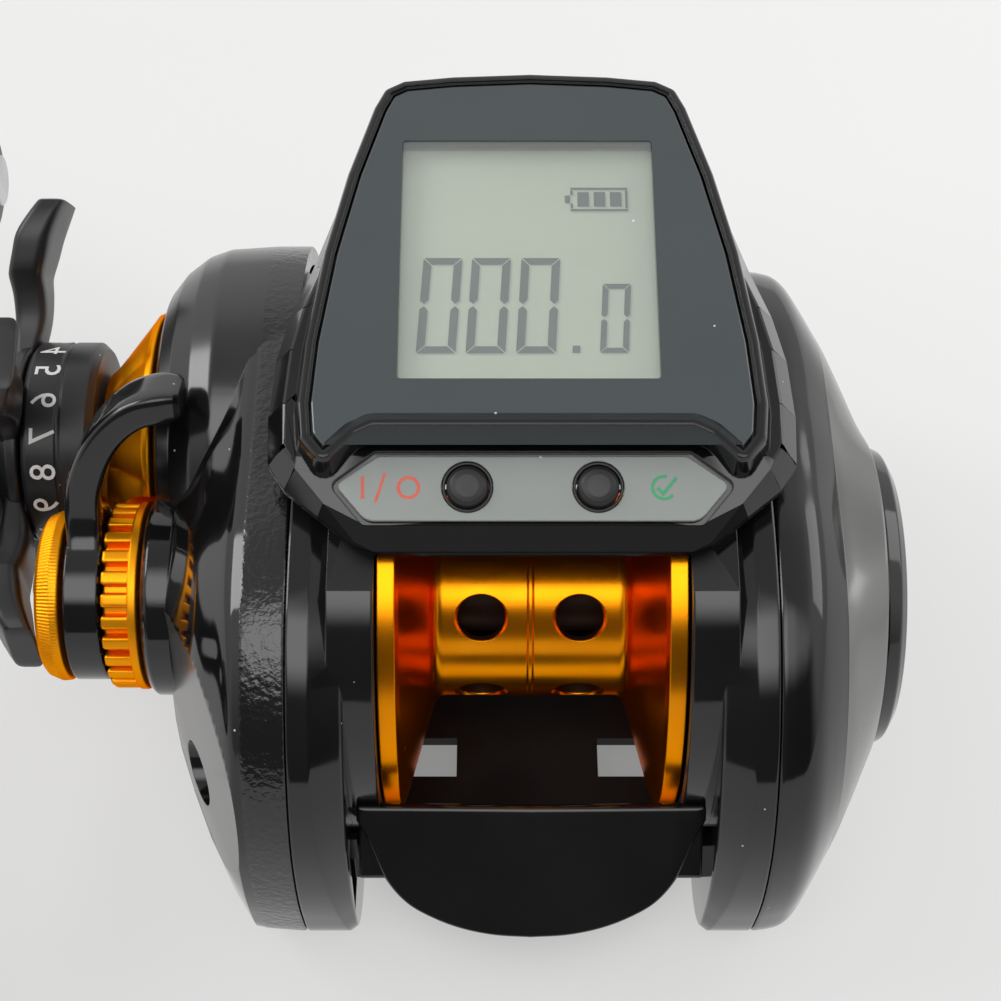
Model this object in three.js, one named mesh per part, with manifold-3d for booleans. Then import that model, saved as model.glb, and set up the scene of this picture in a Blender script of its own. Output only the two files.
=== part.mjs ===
// Low-profile baitcasting fishing reel with a line counter on top.
// Millimetres, +Z up, +Y towards the rod tip, +X towards the palm side.
// The origin is the middle of the flat land under the reel foot.
import * as THREE from 'three';
import { mergeVertices } from 'three/addons/utils/BufferGeometryUtils.js';
import Module from 'manifold-3d';

// ---------------------------------------------------------------- dimensions
const SPOOL_AXIS_Z = 23.2;          // spool axis above the foot seat
const HANDLE_Y = 18.22;             // drive shaft axis, from the spool axis
const HANDLE_Z = 1.0;
const WORM_Y = 34.6;                // level-wind worm axis
const WORM_Z = -6.5;
const ROD_Y = 38.6;                 // guide rod axis
const ROD_Z = -9.3;
const EYE_Y = 36.4;                 // line guide eye
const EYE_Z = 3.4;

const FLANGE_R = 19.5;              // spool flange
const SPOOL_HALF = 13.0;           // half the spool's width
const CORE_R = 9.3;
const PORT_R = 2.1;
const PORT_X = 4.4;
const PORT_ROWS = 6;
const SHROUD_R = 21.5;              // round shrouds beside the flanges
const SHROUD_X = 13.3;
const PLATE_IN = 15.9;              // side plate, inner face
const PLATE_BEVEL = 18.3;           // where its bevel starts, at the front
const PLATE_OUT = 20.6;             // side plate, outer face
const COVER_X = 20.9;               // covers start here
const WALL = 1.6;

const LENS_Y = -2.3;                // display plane passes here
const LENS_Z = 26.0;
const LENS_TILT = 14;               // degrees
const PANEL_TILT = 18;              // button panel, steeper than the display
const BUTTON_X = 5.45;
const BUTTON_R = 1.75;

const SCREW_Y = -16.0;              // cover screw
const SCREW_Z = -5.6;

const TEETH_DRIVE = 63;
const TEETH_PINION = 10;
const MODULE = 0.5;
const TEETH_COG = 28;
const TEETH_WORM = 14;
const COG_MODULE = 36 / 42;

const HANDLE_HALF = 40;             // drive axis to knob axis
const CRANK = 8.0;                  // handle ends stand this much further out
const THUMB_W = 15.3;               // half the thumb bar's width
const DIAL_WELL = 14.35;            // well of the brake dial
const WELL_RIM = 14.8;              // outside of the rim round it

// Side profile of plates and covers (y, z) about the spool axis.
const PROFILE = [
  [-8, 17.5], [-14.6, 15.2], [-20.4, 10.6], [-24.3, 5.2], [-26.5, -1], [-26.8, -8],
  [-25.6, -15], [-23.4, -21], [-18.8, -24.2], [-8, -24.2], [4, -24.2], [16, -24.2],
  [25, -22.0], [34.0, -17.4], [40.8, -11.4], [43.9, -5], [41.8, 0.2], [36, 6.4],
  [30.5, 12.6], [25, 17.4], [17.5, 20.0], [8, 19.6], [0, 18.6],
];

// Display outline (a, b) in the display plane, right half, front to rear.
const LENS_HALF = [
  [0, 36.3], [7, 36.0], [11.4, 35.5], [13.0, 34.6], [13.9, 32.6], [16.0, 25.4], [17.8, 17.1],
  [19.1, 8.0], [19.5, 2.0], [19.2, -1.2], [17.4, -3.6], [14.9, -0.9], [13.4, -0.1],
];
const BASE_HALF = [
  [0, 37.2], [10, 37.0], [13.4, 35.6], [15.2, 31], [17.4, 24.5], [19.4, 18], [21.2, 13],
  [22.2, 8.5], [22.6, 3.0], [22.4, -1.6], [20.9, -4.0], [18, -6.5], [14.9, -9.2], [13.2, -9.8],
];

// ---------------------------------------------------------------- solids
const wasm = await Module();
wasm.setup();
const rad = (d) => d * Math.PI / 180;
const FACETS = 0.32;                  // turned pieces use this share of their listed facets

function solid(geo) {
  const g = geo.index ? geo.toNonIndexed() : geo.clone();
  g.deleteAttribute('normal'); g.deleteAttribute('uv');
  const m = mergeVertices(g, 1e-4);
  const tri = [];
  const a = m.index.array;
  for (let i = 0; i < a.length; i += 3) {
    if (a[i] !== a[i + 1] && a[i + 1] !== a[i + 2] && a[i] !== a[i + 2]) tri.push(a[i], a[i + 1], a[i + 2]);
  }
  return new wasm.Manifold(new wasm.Mesh({
    numProp: 3, vertProperties: new Float32Array(m.attributes.position.array), triVerts: new Uint32Array(tri),
  }));
}
function geom(man) {
  const mesh = man.getMesh();
  const p = new Float32Array(mesh.vertProperties);
  const g = new THREE.BufferGeometry();
  g.setAttribute('position', new THREE.BufferAttribute(p, 3));
  g.setIndex(new THREE.BufferAttribute(new Uint32Array(mesh.triVerts), 1));
  g.computeVertexNormals();
  return g;
}
const join = (...gs) => geom(gs.map(solid).reduce((a, b) => a.add(b)));
const cut = (g, ...cs) => geom(cs.map(solid).reduce((a, b) => a.subtract(b), solid(g)));

// Prism of a (y, z) outline between two X stations.
function prismX(pts, x0, x1, holes = []) {
  const s = new THREE.Shape(pts.map(([y, z]) => new THREE.Vector2(y, z)));
  for (const h of holes) s.holes.push(new THREE.Path(h.map(([y, z]) => new THREE.Vector2(y, z))));
  const g = new THREE.ExtrudeGeometry(s, { depth: x1 - x0, bevelEnabled: false, steps: 1 });
  const m = new THREE.Matrix4().makeBasis(new THREE.Vector3(0, 1, 0), new THREE.Vector3(0, 0, 1), new THREE.Vector3(1, 0, 0));
  g.applyMatrix4(m);
  g.translate(x0, 0, 0);
  return g;
}
// Prism of an (x, y) outline between two Z stations.
function prismZ(pts, z0, z1, holes = []) {
  const s = new THREE.Shape(pts.map(([x, y]) => new THREE.Vector2(x, y)));
  for (const h of holes) s.holes.push(new THREE.Path(h.map(([x, y]) => new THREE.Vector2(x, y))));
  const g = new THREE.ExtrudeGeometry(s, { depth: z1 - z0, bevelEnabled: false, steps: 1 });
  g.translate(0, 0, z0);
  return g;
}
function box(x0, x1, y0, y1, z0, z1) {
  const g = new THREE.BoxGeometry(x1 - x0, y1 - y0, z1 - z0);
  g.translate((x0 + x1) / 2, (y0 + y1) / 2, (z0 + z1) / 2);
  return g;
}
// Turned piece about the X axis from [radius, x] points. The profile closes on itself or on the axis.
function turned(pts, seg = 48, closed = false) {
  const p = pts.map(([r, x]) => new THREE.Vector2(Math.max(r, 0), x));
  if (closed) p.push(p[0].clone());
  const g = new THREE.LatheGeometry(p, Math.max(10, Math.round(seg * FACETS)));
  g.rotateZ(-Math.PI / 2);                 // lathe axis Y becomes +X
  const s = solid(g);
  return s.volume() < 0 ? geom(solid(flip(g))) : geom(s);
}
function flip(g) {
  const n = g.index ? g.toNonIndexed() : g.clone();
  const a = n.attributes.position.array;
  for (let i = 0; i < a.length; i += 9) for (let k = 0; k < 3; k++) {
    const t = a[i + 3 + k]; a[i + 3 + k] = a[i + 6 + k]; a[i + 6 + k] = t;
  }
  return n;
}
const rodX = (r, x0, x1, seg = 32) => turned([[0, x0], [r, x0], [r, x1], [0, x1]], seg);
const ringX = (ri, ro, x0, x1, seg = 40) => turned([[ri, x0], [ro, x0], [ro, x1], [ri, x1]], seg, true);
const at = (g, x, y, z) => { g.translate(x, y, z); return g; };
const circle = (r, n, cy = 0, cz = 0, ph = 0) => Array.from({ length: n }, (_, i) => {
  const t = ph + i / n * 2 * Math.PI; return [cy + r * Math.cos(t), cz + r * Math.sin(t)];
});

// Smooth closed curve through points, resampled.
function smooth(pts, n) {
  const c = new THREE.CatmullRomCurve3(pts.map(([y, z]) => new THREE.Vector3(y, z, 0)), true, 'centripetal');
  return c.getSpacedPoints(n).slice(0, n).map((v) => [v.x, v.y]);
}
const mirror = (half) => {
  const right = half.slice();
  const left = half.filter(([a]) => a > 0).map(([a, b]) => [-a, b]).reverse();
  return right.concat(left);
};
const isCCW = (p) => p.reduce((s, [x, y], i) => { const [u, v] = p[(i + 1) % p.length]; return s + x * v - u * y; }, 0) > 0;
const ccw = (p) => (isCCW(p) ? p : p.slice().reverse());

// Outline moved inwards by d (mitred), for anticlockwise outlines.
function inset(pts, d) {
  const n = pts.length;
  return pts.map(([x, y], i) => {
    const [px, py] = pts[(i + n - 1) % n], [qx, qy] = pts[(i + 1) % n];
    const l1 = Math.hypot(x - px, y - py), l2 = Math.hypot(qx - x, qy - y);
    const n1 = [-(y - py) / l1, (x - px) / l1], n2 = [-(qy - y) / l2, (qx - x) / l2];
    const k = 1 + n1[0] * n2[0] + n1[1] * n2[1];
    return [x + d * (n1[0] + n2[0]) / k, y + d * (n1[1] + n2[1]) / k];
  });
}

// Skin through rings of equal point count, capped at both ends.
function loft(rings) {
  const n = rings[0].length, pos = [];
  const c = rings.map((r) => r.reduce((a, p) => [a[0] + p[0] / n, a[1] + p[1] / n, a[2] + p[2] / n], [0, 0, 0]));
  const tri = (a, b, d) => pos.push(...a, ...b, ...d);
  for (let k = 0; k < rings.length - 1; k++) for (let i = 0; i < n; i++) {
    const j = (i + 1) % n, A = rings[k], B = rings[k + 1];
    tri(A[i], A[j], B[j]); tri(A[i], B[j], B[i]);
  }
  const capAt = (ring, rev) => {
    const v2 = ring.map((p) => p);
    // project on the plane best suited: rings here are flat in X or in Z
    const flatX = Math.abs(Math.max(...v2.map((p) => p[0])) - Math.min(...v2.map((p) => p[0]))) < 1e-6;
    const s = v2.map((p) => (flatX ? new THREE.Vector2(p[1], p[2]) : new THREE.Vector2(p[0], p[1])));
    const faces = THREE.ShapeUtils.triangulateShape(s, []);
    for (const f of faces) {
      const [a, b, d] = f;
      if (rev) tri(ring[a], ring[d], ring[b]); else tri(ring[a], ring[b], ring[d]);
    }
  };
  capAt(rings[0], true); capAt(rings[rings.length - 1], false);
  const g = new THREE.BufferGeometry();
  g.setAttribute('position', new THREE.BufferAttribute(new Float32Array(pos), 3));
  let s = solid(g);
  if (s.volume() < 0) { s = solid(flip(g)); }
  return geom(s);
}

// Gear outline with straight-sided teeth; a tooth is centred on angle `phase`.
function gearOutline(n, rp, add, ded, phase, tip = 0.2, root = 0.56) {
  const out = [];
  for (let i = 0; i < n; i++) {
    const c = phase + i / n * 2 * Math.PI, h = Math.PI / n;
    out.push([(rp - ded) * Math.cos(c - h * root * 1.25), (rp - ded) * Math.sin(c - h * root * 1.25)]);
    out.push([(rp + add) * Math.cos(c - h * tip), (rp + add) * Math.sin(c - h * tip)]);
    out.push([(rp + add) * Math.cos(c + h * tip), (rp + add) * Math.sin(c + h * tip)]);
    out.push([(rp - ded) * Math.cos(c + h * root * 1.25), (rp - ded) * Math.sin(c + h * root * 1.25)]);
  }
  return out;
}

// ---------------------------------------------------------------- materials and nodes
const FINISH = {
  gloss_black: [0x0b0b0d, 0.14, 0.0], satin_black: [0x141416, 0.45, 0.1], orange: [0xe98a12, 0.22, 1.0],
  steel: [0xb9bcc0, 0.28, 1.0], dark_steel: [0x5a5d61, 0.35, 1.0], brass: [0xc9a24a, 0.3, 1.0],
  rubber: [0x121213, 0.75, 0.0], lens: [0x2b333c, 0.08, 0.0], lcd: [0x9da79a, 0.35, 0.0],
  panel: [0xa7aca2, 0.4, 0.1], pcb: [0x1d5a3a, 0.5, 0.0], eva: [0x17171a, 0.85, 0.0],
  carbon: [0x26272a, 0.6, 0.0], ceramic: [0xe6e4df, 0.25, 0.0], silver: [0xc4c7ca, 0.35, 1.0],
};
const group = new THREE.Group();
const body = new THREE.Group();           // everything hangs on the spool axis
body.position.set(0, 0, SPOOL_AXIS_Z);
group.add(body);
const driveAxis = new THREE.Group(); driveAxis.position.set(0, HANDLE_Y, HANDLE_Z); body.add(driveAxis);
const wormAxis = new THREE.Group(); wormAxis.position.set(0, WORM_Y, WORM_Z); body.add(wormAxis);
const display = new THREE.Group(); display.position.set(0, LENS_Y, LENS_Z); display.rotation.x = rad(LENS_TILT); body.add(display);
const panel = new THREE.Group(); panel.position.set(0, -1.8, -1.8); panel.rotation.x = rad(PANEL_TILT); display.add(panel);

function node(parent, name, geo, finish, x = 0, y = 0, z = 0) {
  const [color, roughness, metalness] = FINISH[finish];
  const m = new THREE.Mesh(geo, new THREE.MeshStandardMaterial({ color, roughness, metalness }));
  m.name = name;
  m.position.set(x, y, z);
  parent.add(m);
  return m;
}

// ---------------------------------------------------------------- frame
const profile = ccw(smooth(PROFILE, 30));
const scaled = (s, x, cy = 0, cz = 0) => profile.map(([y, z]) => [x, cy + (y - cy) * s, cz + (z - cz) * s]);

// The bevel is widest at the upper rear and runs out towards the lower rear corner.
function sidePlate(sign) {
  const rear = (y) => Math.min(1, Math.max(0, (4 - y) / 12));
  const low = (y, z) => Math.min(1, Math.max(0, (5 - z) / 29.2)) ** 1.3 * rear(y);
  const inner = profile.map(([y, z]) => {
    const s = 0.955 + 0.035 * low(y, z);
    return [sign * PLATE_IN, 4 + (y - 4) * s, z * s];
  });
  const edge = profile.map(([y, z]) => [sign * (PLATE_BEVEL + 0.45 * rear(y) - 2.55 * low(y, z)), y, z]);
  return loft([inner, edge, scaled(1, sign * PLATE_OUT, 4, 0)]);
}
{
  const shroudL = rodX(SHROUD_R, -PLATE_IN - 0.6, -SHROUD_X, 64);
  const shroudR = rodX(SHROUD_R, SHROUD_X, PLATE_IN + 0.6, 64);
  // Thin floor under the spool, with the front and rear bars it joins.
  const floor = join(box(-17, 17, -17.6, 24, -21.3, -20.1), box(-10, 10, -19.5, -17, -21.3, -20.1));
  const rearBar = join(box(-17, 17, -17.6, -15.0, -21.3, -15.6), box(-10, 10, -20.6, -17, -21.3, -15.6));
  const frontBar = box(-17, 17, 18.5, 25.0, -21.3, -13.6);
  const topBar = box(-17, 17, 25.5, 29.0, 8.5, 11.8);
  const tilted = box(-30, 30, -3, 60, 0, 30).rotateX(rad(LENS_TILT)).translate(0, -10, 17.7);
  const keep = rodX(FLANGE_R + 0.6, -SHROUD_X, SHROUD_X, 80);
  let f = join(sidePlate(-1), sidePlate(1), shroudL, shroudR, floor, rearBar, frontBar, topBar);
  const cuts = [
    keep,
    box(7.0, 14.2, -7.0, -2.5, -22, -19.5), box(-14.2, -7.0, -7.0, -2.5, -22, -19.5),   // drain windows
    box(6.9, 15.5, 4, 14, -22, -19.5), box(-15.5, -6.9, 4, 14, -22, -19.5),
    rodX(5.3, -16.9, -12, 32),                                     // left spool bearing seat
    rodX(3.9, -22, -14, 32),                                       // pinion passage
    rodX(20.1, 12, 15.1, 64), rodX(17.4, 15, 22, 64),               // palm-side spool opening, stepped
    at(rodX(5.3, -22, -17.4, 32), 0, HANDLE_Y, HANDLE_Z),          // drive shaft bearing seat
    at(rodX(2.6, -22, -15.5, 24), 0, WORM_Y, WORM_Z),                // worm shaft ends
    at(rodX(2.6, 15.5, 19.2, 24), 0, WORM_Y, WORM_Z),
    at(rodX(1.6, -19, -15.5, 20), 0, ROD_Y, ROD_Z),                  // guide rod ends
    at(rodX(1.6, 15.5, 19, 20), 0, ROD_Y, ROD_Z),
    tilted,                                                        // seat of the counter
    box(-22, -12, -24.6, -21.3, -15.2, -5.6),                      // slot for the clutch link
    at(new THREE.CylinderGeometry(1.35, 1.35, 6, 12).rotateX(Math.PI / 2), 0, 21.7, -20.3),
    at(new THREE.CylinderGeometry(1.35, 1.35, 5.4, 12).rotateX(Math.PI / 2), 0, -17.8, -20.6),
  ];
  f = cut(f, ...cuts);
  node(body, 'frame', f, 'gloss_black');
}

// ---------------------------------------------------------------- reel foot and its screws
{
  const half = [[0, 39.5], [3.0, 39.0], [4.8, 36.6], [6.0, 28], [6.4, 16], [6.4, -17], [6.0, -19.6], [4.6, -21.2], [0, -21.6]];
  const foot = ccw(mirror(half).concat([]));
  const g = prismZ(foot, -23.2, -21.6);
  const sink = (y) => [
    at(new THREE.CylinderGeometry(1.4, 1.4, 8, 12).rotateX(Math.PI / 2), 0, y, -22),
    at(new THREE.CylinderGeometry(2.5, 2.5, 1.0, 16).rotateX(Math.PI / 2), 0, y, -23.0),
  ];
  node(body, 'reel_foot', cut(g, ...sink(21.7), ...sink(-17.8)), 'satin_black');
  const screw = () => {
    const g2 = join(at(new THREE.CylinderGeometry(2.2, 2.2, 0.6, 14).rotateX(Math.PI / 2), 0, 0, 0.3),
      at(new THREE.CylinderGeometry(1.05, 1.05, 4.2, 10).rotateX(Math.PI / 2), 0, 0, 2.2));
    return cut(g2, box(-1.6, 1.6, -0.25, 0.25, -0.4, 0.25));
  };
  node(body, 'foot_screw_front', screw(), 'steel', 0, 21.7, -23.1);
  node(body, 'foot_screw_rear', screw(), 'steel', 0, -17.8, -23.1);
}

// ---------------------------------------------------------------- covers
const LEFT_RINGS = [[COVER_X, 1], [24.3, 0.985], [25.5, 0.955], [27.2, 0.86], [29.1, 0.74], [31.0, 0.58], [32.4, 0.45], [32.8, 0.38]];
const LOW_REAR = [1, 0.992, 0.981, 0.885, 0.755, 0.595, 0.455, 0.38];   // scales of the same rings, low at the rear
const CHEEK = [-36.163, -0.4285, 0.112];                                 // x of the cheek is c0 + c1 y + c2 z
const RIGHT_RINGS = [[COVER_X, 1], [23.2, 0.985], [24.2, 0.955], [25.9, 0.865], [26.9, 0.8135], [27.8, 0.75], [29.2, 0.65], [30.8, 0.52]];
const stationAt = (rings, x) => {
  const i = Math.max(1, rings.findIndex(([a]) => a >= x - 1e-9)), [a, p] = rings[i - 1], [b, q] = rings[i];
  return p + (q - p) * (x - a) / (b - a);
};
const coverLoft = (rings, sign, shrink = 0, over = 0) => loft(rings.map(([x, s], i) => {
  const xx = sign * (x - (i === 0 ? over : shrink));
  const ring = inset(profile.map(([y, z]) => [y * s, z * s]), shrink);
  return ring.map(([y, z]) => [xx, y, z]);
}));
{
  // Handle side: the flat dome, the round gear case and the tension boss in one shell.
  // Low at the rear the dome keeps its full outline further out, and a flat cheek is cut across it.
  const ease = (v, a, b) => { const t = Math.min(1, Math.max(0, (v - a) / (b - a))); return t * t * (3 - 2 * t); };
  const lowRear = (y, z) => { const q = Math.atan2(-z, -y) * 180 / Math.PI; return ease(q, -20, 5) * (1 - ease(q, 70, 92)); };
  let dome = loft(LEFT_RINGS.map(([x, s], i) => profile.map(([y, z]) => {
    const k = s + (LOW_REAR[i] - s) * lowRear(y, z);
    return [-x, y * k, z * k];
  })));
  const beyond = new THREE.BoxGeometry(30, 36, 70);
  beyond.translate(-45, -22, -5);
  const bp = beyond.attributes.position;
  for (let i = 0; i < bp.count; i++) if (bp.getX(i) > -40) bp.setX(i, CHEEK[0] + CHEEK[1] * bp.getY(i) + CHEEK[2] * bp.getZ(i));
  dome = cut(dome, beyond);
  const gearCase = at(turned([[0, -COVER_X], [19.4, -COVER_X], [19.4, -24.2], [19.1, -28.8], [18.4, -30.8], [16.9, -32.8],
    [15.0, -34.3], [13.0, -34.9], [0, -34.9]], 76), 0, HANDLE_Y, HANDLE_Z);
  const boss = turned([[0, -25], [9.3, -25], [9.3, -34.2], [8.8, -34.9], [0, -34.9]], 48);
  let c = join(dome, gearCase, boss);
  const hollow = coverLoft([LEFT_RINGS[0], LEFT_RINGS[1], LEFT_RINGS[3], LEFT_RINGS[4]], -1, WALL, 1.0);
  const hollowGear = at(turned([[0, -19.6], [17.6, -19.6], [17.6, -27.2], [15.5, -28.6], [0, -28.6]], 64), 0, HANDLE_Y, HANDLE_Z);
  const shell = cut(c, hollow, hollowGear);
  c = join(shell, at(rodX(3.7, -28.1, -22.4, 36), 0, SCREW_Y, SCREW_Z));
  c = cut(c,
    at(rodX(7.2, -23.6, -19.9, 60), 0, WORM_Y, WORM_Z),             // level-wind gear
    rodX(5.2, -36, -22, 40),                                        // tension stem
    at(rodX(7.0, -33.9, -27, 40), 0, HANDLE_Y, HANDLE_Z),           // one-way bearing seat
    at(rodX(4.6, -36, -27, 32), 0, HANDLE_Y, HANDLE_Z),             // drive shaft passage
    at(rodX(2.9, -40, -27.0, 44), 0, SCREW_Y, SCREW_Z),             // screw recess
    at(rodX(1.4, -40, -20, 28), 0, SCREW_Y, SCREW_Z));
  node(body, 'handle_side_cover', c, 'gloss_black');
}
{
  // Past x 26.9 the flank runs straight to a round rim, where the outline isn't wider anyway.
  const wide = (x, y, z) => {
    const t = Math.min(1, Math.max(0, (x - 26.9) / 3.9)), R = Math.hypot(y, z);
    return Math.max(stationAt(RIGHT_RINGS, x), (stationAt(RIGHT_RINGS, 26.9) * R * (1 - t) + WELL_RIM * t) / R);
  };
  let c = loft([COVER_X, 23.2, 24.2, 25.9, 26.9, 27.8, 29.2, 30.8].map((x) => profile.map(([y, z]) => {
    const s = x > 26.9 ? wide(x, y, z) : stationAt(RIGHT_RINGS, x);
    return [x, y * s, z * s];
  })));
  const hollow = coverLoft([RIGHT_RINGS[0], RIGHT_RINGS[1], RIGHT_RINGS[3], RIGHT_RINGS[5]], 1, WALL, 1.0);
  c = cut(c, hollow,
    rodX(DIAL_WELL, 28.2, 40, 64),                                  // dial well
    rodX(5.6, 20, 40, 40));                                         // dial stem
  node(body, 'palm_side_cover', c, 'gloss_black');
}
{
  const screw = (len) => cut(join(rodX(2.3, 0, 1.5, 24), rodX(1.0, 1.4, len, 20)), box(-0.4, 0.7, -0.3, 0.3, -1.5, 1.5), box(-0.4, 0.7, -1.5, 1.5, -0.3, 0.3));
  const l = screw(5.0);
  node(body, 'cover_screw', l, 'dark_steel', -28.55, SCREW_Y, SCREW_Z);
}

// ---------------------------------------------------------------- palm side: inner plate, brake
{
  const g = turned([[5.3, 13.4], [19.7, 13.4], [19.7, 14.8], [17.0, 14.8], [17.0, 20.0], [15.8, 20.0], [15.8, 14.6], [7.3, 14.6], [7.3, 19.4], [5.3, 19.4]], 56, true);
  node(body, 'inner_side_plate', g, 'satin_black');
  node(body, 'magnet_holder', ringX(7.7, 14.2, 19.9, 21.2, 48), 'satin_black');
  node(body, 'magnet_ring', ringX(8.2, 12.6, 18.0, 19.6, 48), 'silver');
  const dial = turned([[0, 22.2], [5.1, 22.2], [5.1, 28.6], [13.9, 28.6], [14.0, 31.2], [13.3, 32.5], [12.4, 32.9], [11.2, 32.7], [0, 32.3]], 60);
  node(body, 'brake_dial', cut(dial, box(32.0, 34, -8, 8, -0.7, 0.7)), 'gloss_black');
}

// ---------------------------------------------------------------- spool
{
  const outer = turned([[0, -SPOOL_HALF], [FLANGE_R, -SPOOL_HALF], [FLANGE_R, -11.6], [18.8, -11.3], [CORE_R, -8.6], [CORE_R, 8.6],
    [18.8, 11.3], [FLANGE_R, 11.6], [FLANGE_R, SPOOL_HALF], [0, SPOOL_HALF]], 76);
  const cavity = turned([[3.3, -7.4], [7.9, -7.4], [7.9, 7.4], [3.3, 7.4]], 40, true);
  const dishL = turned([[6.2, -14], [17.9, -14], [17.9, -11.9], [9.6, -9.6], [6.2, -9.6]], 56, true);
  const dishR = turned([[6.2, 14], [17.9, 14], [17.9, 11.9], [9.6, 9.6], [6.2, 9.6]], 56, true);
  const ports = [];
  for (let k = 0; k < PORT_ROWS; k++) for (const sx of [-1, 1]) {
    const t = rad(141 + k * 360 / PORT_ROWS);
    const p = new THREE.CylinderGeometry(PORT_R, PORT_R, 5, 8);      // along Y, moved out, then turned about X
    p.translate(sx * PORT_X, 8.5, 0);
    p.rotateX(t);
    ports.push(p);
  }
  node(body, 'spool', cut(outer, cavity, dishL, dishR, rodX(1.85, -15, 15, 28), ...ports), 'orange');
  node(body, 'spool_shaft', turned([[0, -32.6], [1.1, -32.6], [1.15, -32.2], [1.15, -17], [1.5, -17], [1.5, 18.9], [1.2, 19.3], [0, 19.3]], 28), 'steel');
  node(body, 'spool_bearing_left', ringX(1.85, 5.0, -16.4, -13.7, 32), 'steel');
  node(body, 'spool_bearing_right', ringX(1.85, 5.0, 15.4, 18.2, 32), 'steel');
}

// ---------------------------------------------------------------- gear train
const toSpool = Math.atan2(-HANDLE_Z, -HANDLE_Y);      // from the drive axis towards the spool axis
const toDrive = Math.atan2(HANDLE_Z, HANDLE_Y);
{
  const pin = gearOutline(TEETH_PINION, TEETH_PINION * MODULE / 2, 0.45, 0.62, toDrive + Math.PI / TEETH_PINION, 0.2, 0.5);
  const g = join(prismX(ccw(pin), -26.6, -22.0), rodX(2.1, -22.4, -20, 24), rodX(3.4, -20.4, -17.3, 32));
  node(body, 'pinion_gear', cut(g, rodX(1.42, -30, -15, 24), box(-18.4, -17, -4, 4, -0.6, 0.6)), 'brass');

  const gear = gearOutline(TEETH_DRIVE, TEETH_DRIVE * MODULE / 2, 0.45, 0.62, toSpool, 0.2, 0.5);
  const dg = cut(prismX(ccw(gear), -25.6, -23.2), rodX(11.4, -26, -24.2, 48), rodX(3.35, -27, -22, 32));
  node(driveAxis, 'drive_gear', dg, 'brass');

  const wormDir = Math.atan2(WORM_Z - HANDLE_Z, WORM_Y - HANDLE_Y);
  const cog = gearOutline(TEETH_COG, TEETH_COG * COG_MODULE / 2, 0.6, 0.85, wormDir, 0.2, 0.5);
  node(driveAxis, 'levelwind_drive_cog', cut(prismX(ccw(cog), -22.7, -21.5), rodX(3.35, -24, -20, 28)), 'satin_black');
  const wg = gearOutline(TEETH_WORM, TEETH_WORM * COG_MODULE / 2, 0.6, 0.85, wormDir + Math.PI + Math.PI / TEETH_WORM, 0.2, 0.5);
  node(wormAxis, 'levelwind_worm_gear', cut(prismX(ccw(wg), -22.7, -21.5), rodX(1.6, -24, -20, 24)), 'satin_black');

  node(driveAxis, 'drag_washer_inner', ringX(3.35, 10.9, -25.0, -24.5, 48), 'carbon');
  node(driveAxis, 'drag_plate', ringX(3.35, 10.9, -25.8, -25.3, 48), 'steel');
  node(driveAxis, 'drag_washer_outer', ringX(3.35, 10.9, -26.6, -26.1, 48), 'carbon');
  node(driveAxis, 'pressure_plate', turned([[3.35, -26.9], [10.4, -26.9], [10.4, -27.6], [6.0, -27.6], [6.0, -28.2], [3.35, -28.2]], 40, true), 'steel');
  node(driveAxis, 'anti_reverse_bearing', ringX(3.35, 6.7, -33.6, -28.9, 36), 'steel');
  node(driveAxis, 'drive_shaft_bearing', ringX(3.35, 5.0, -20.2, -17.7, 32), 'steel');
  const shaft = cut(turned([[0, -55.9], [2.2, -55.9], [2.4, -55.5], [2.4, -51.1], [3.0, -51.1], [3.0, -17.9], [2.6, -17.5], [0, -17.5]], 28),
    box(-53.9, -51.1, 1.8, 4, -4, 4), box(-53.9, -51.1, -4, -1.8, -4, 4));
  node(driveAxis, 'drive_shaft', shaft, 'steel');
}

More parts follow.
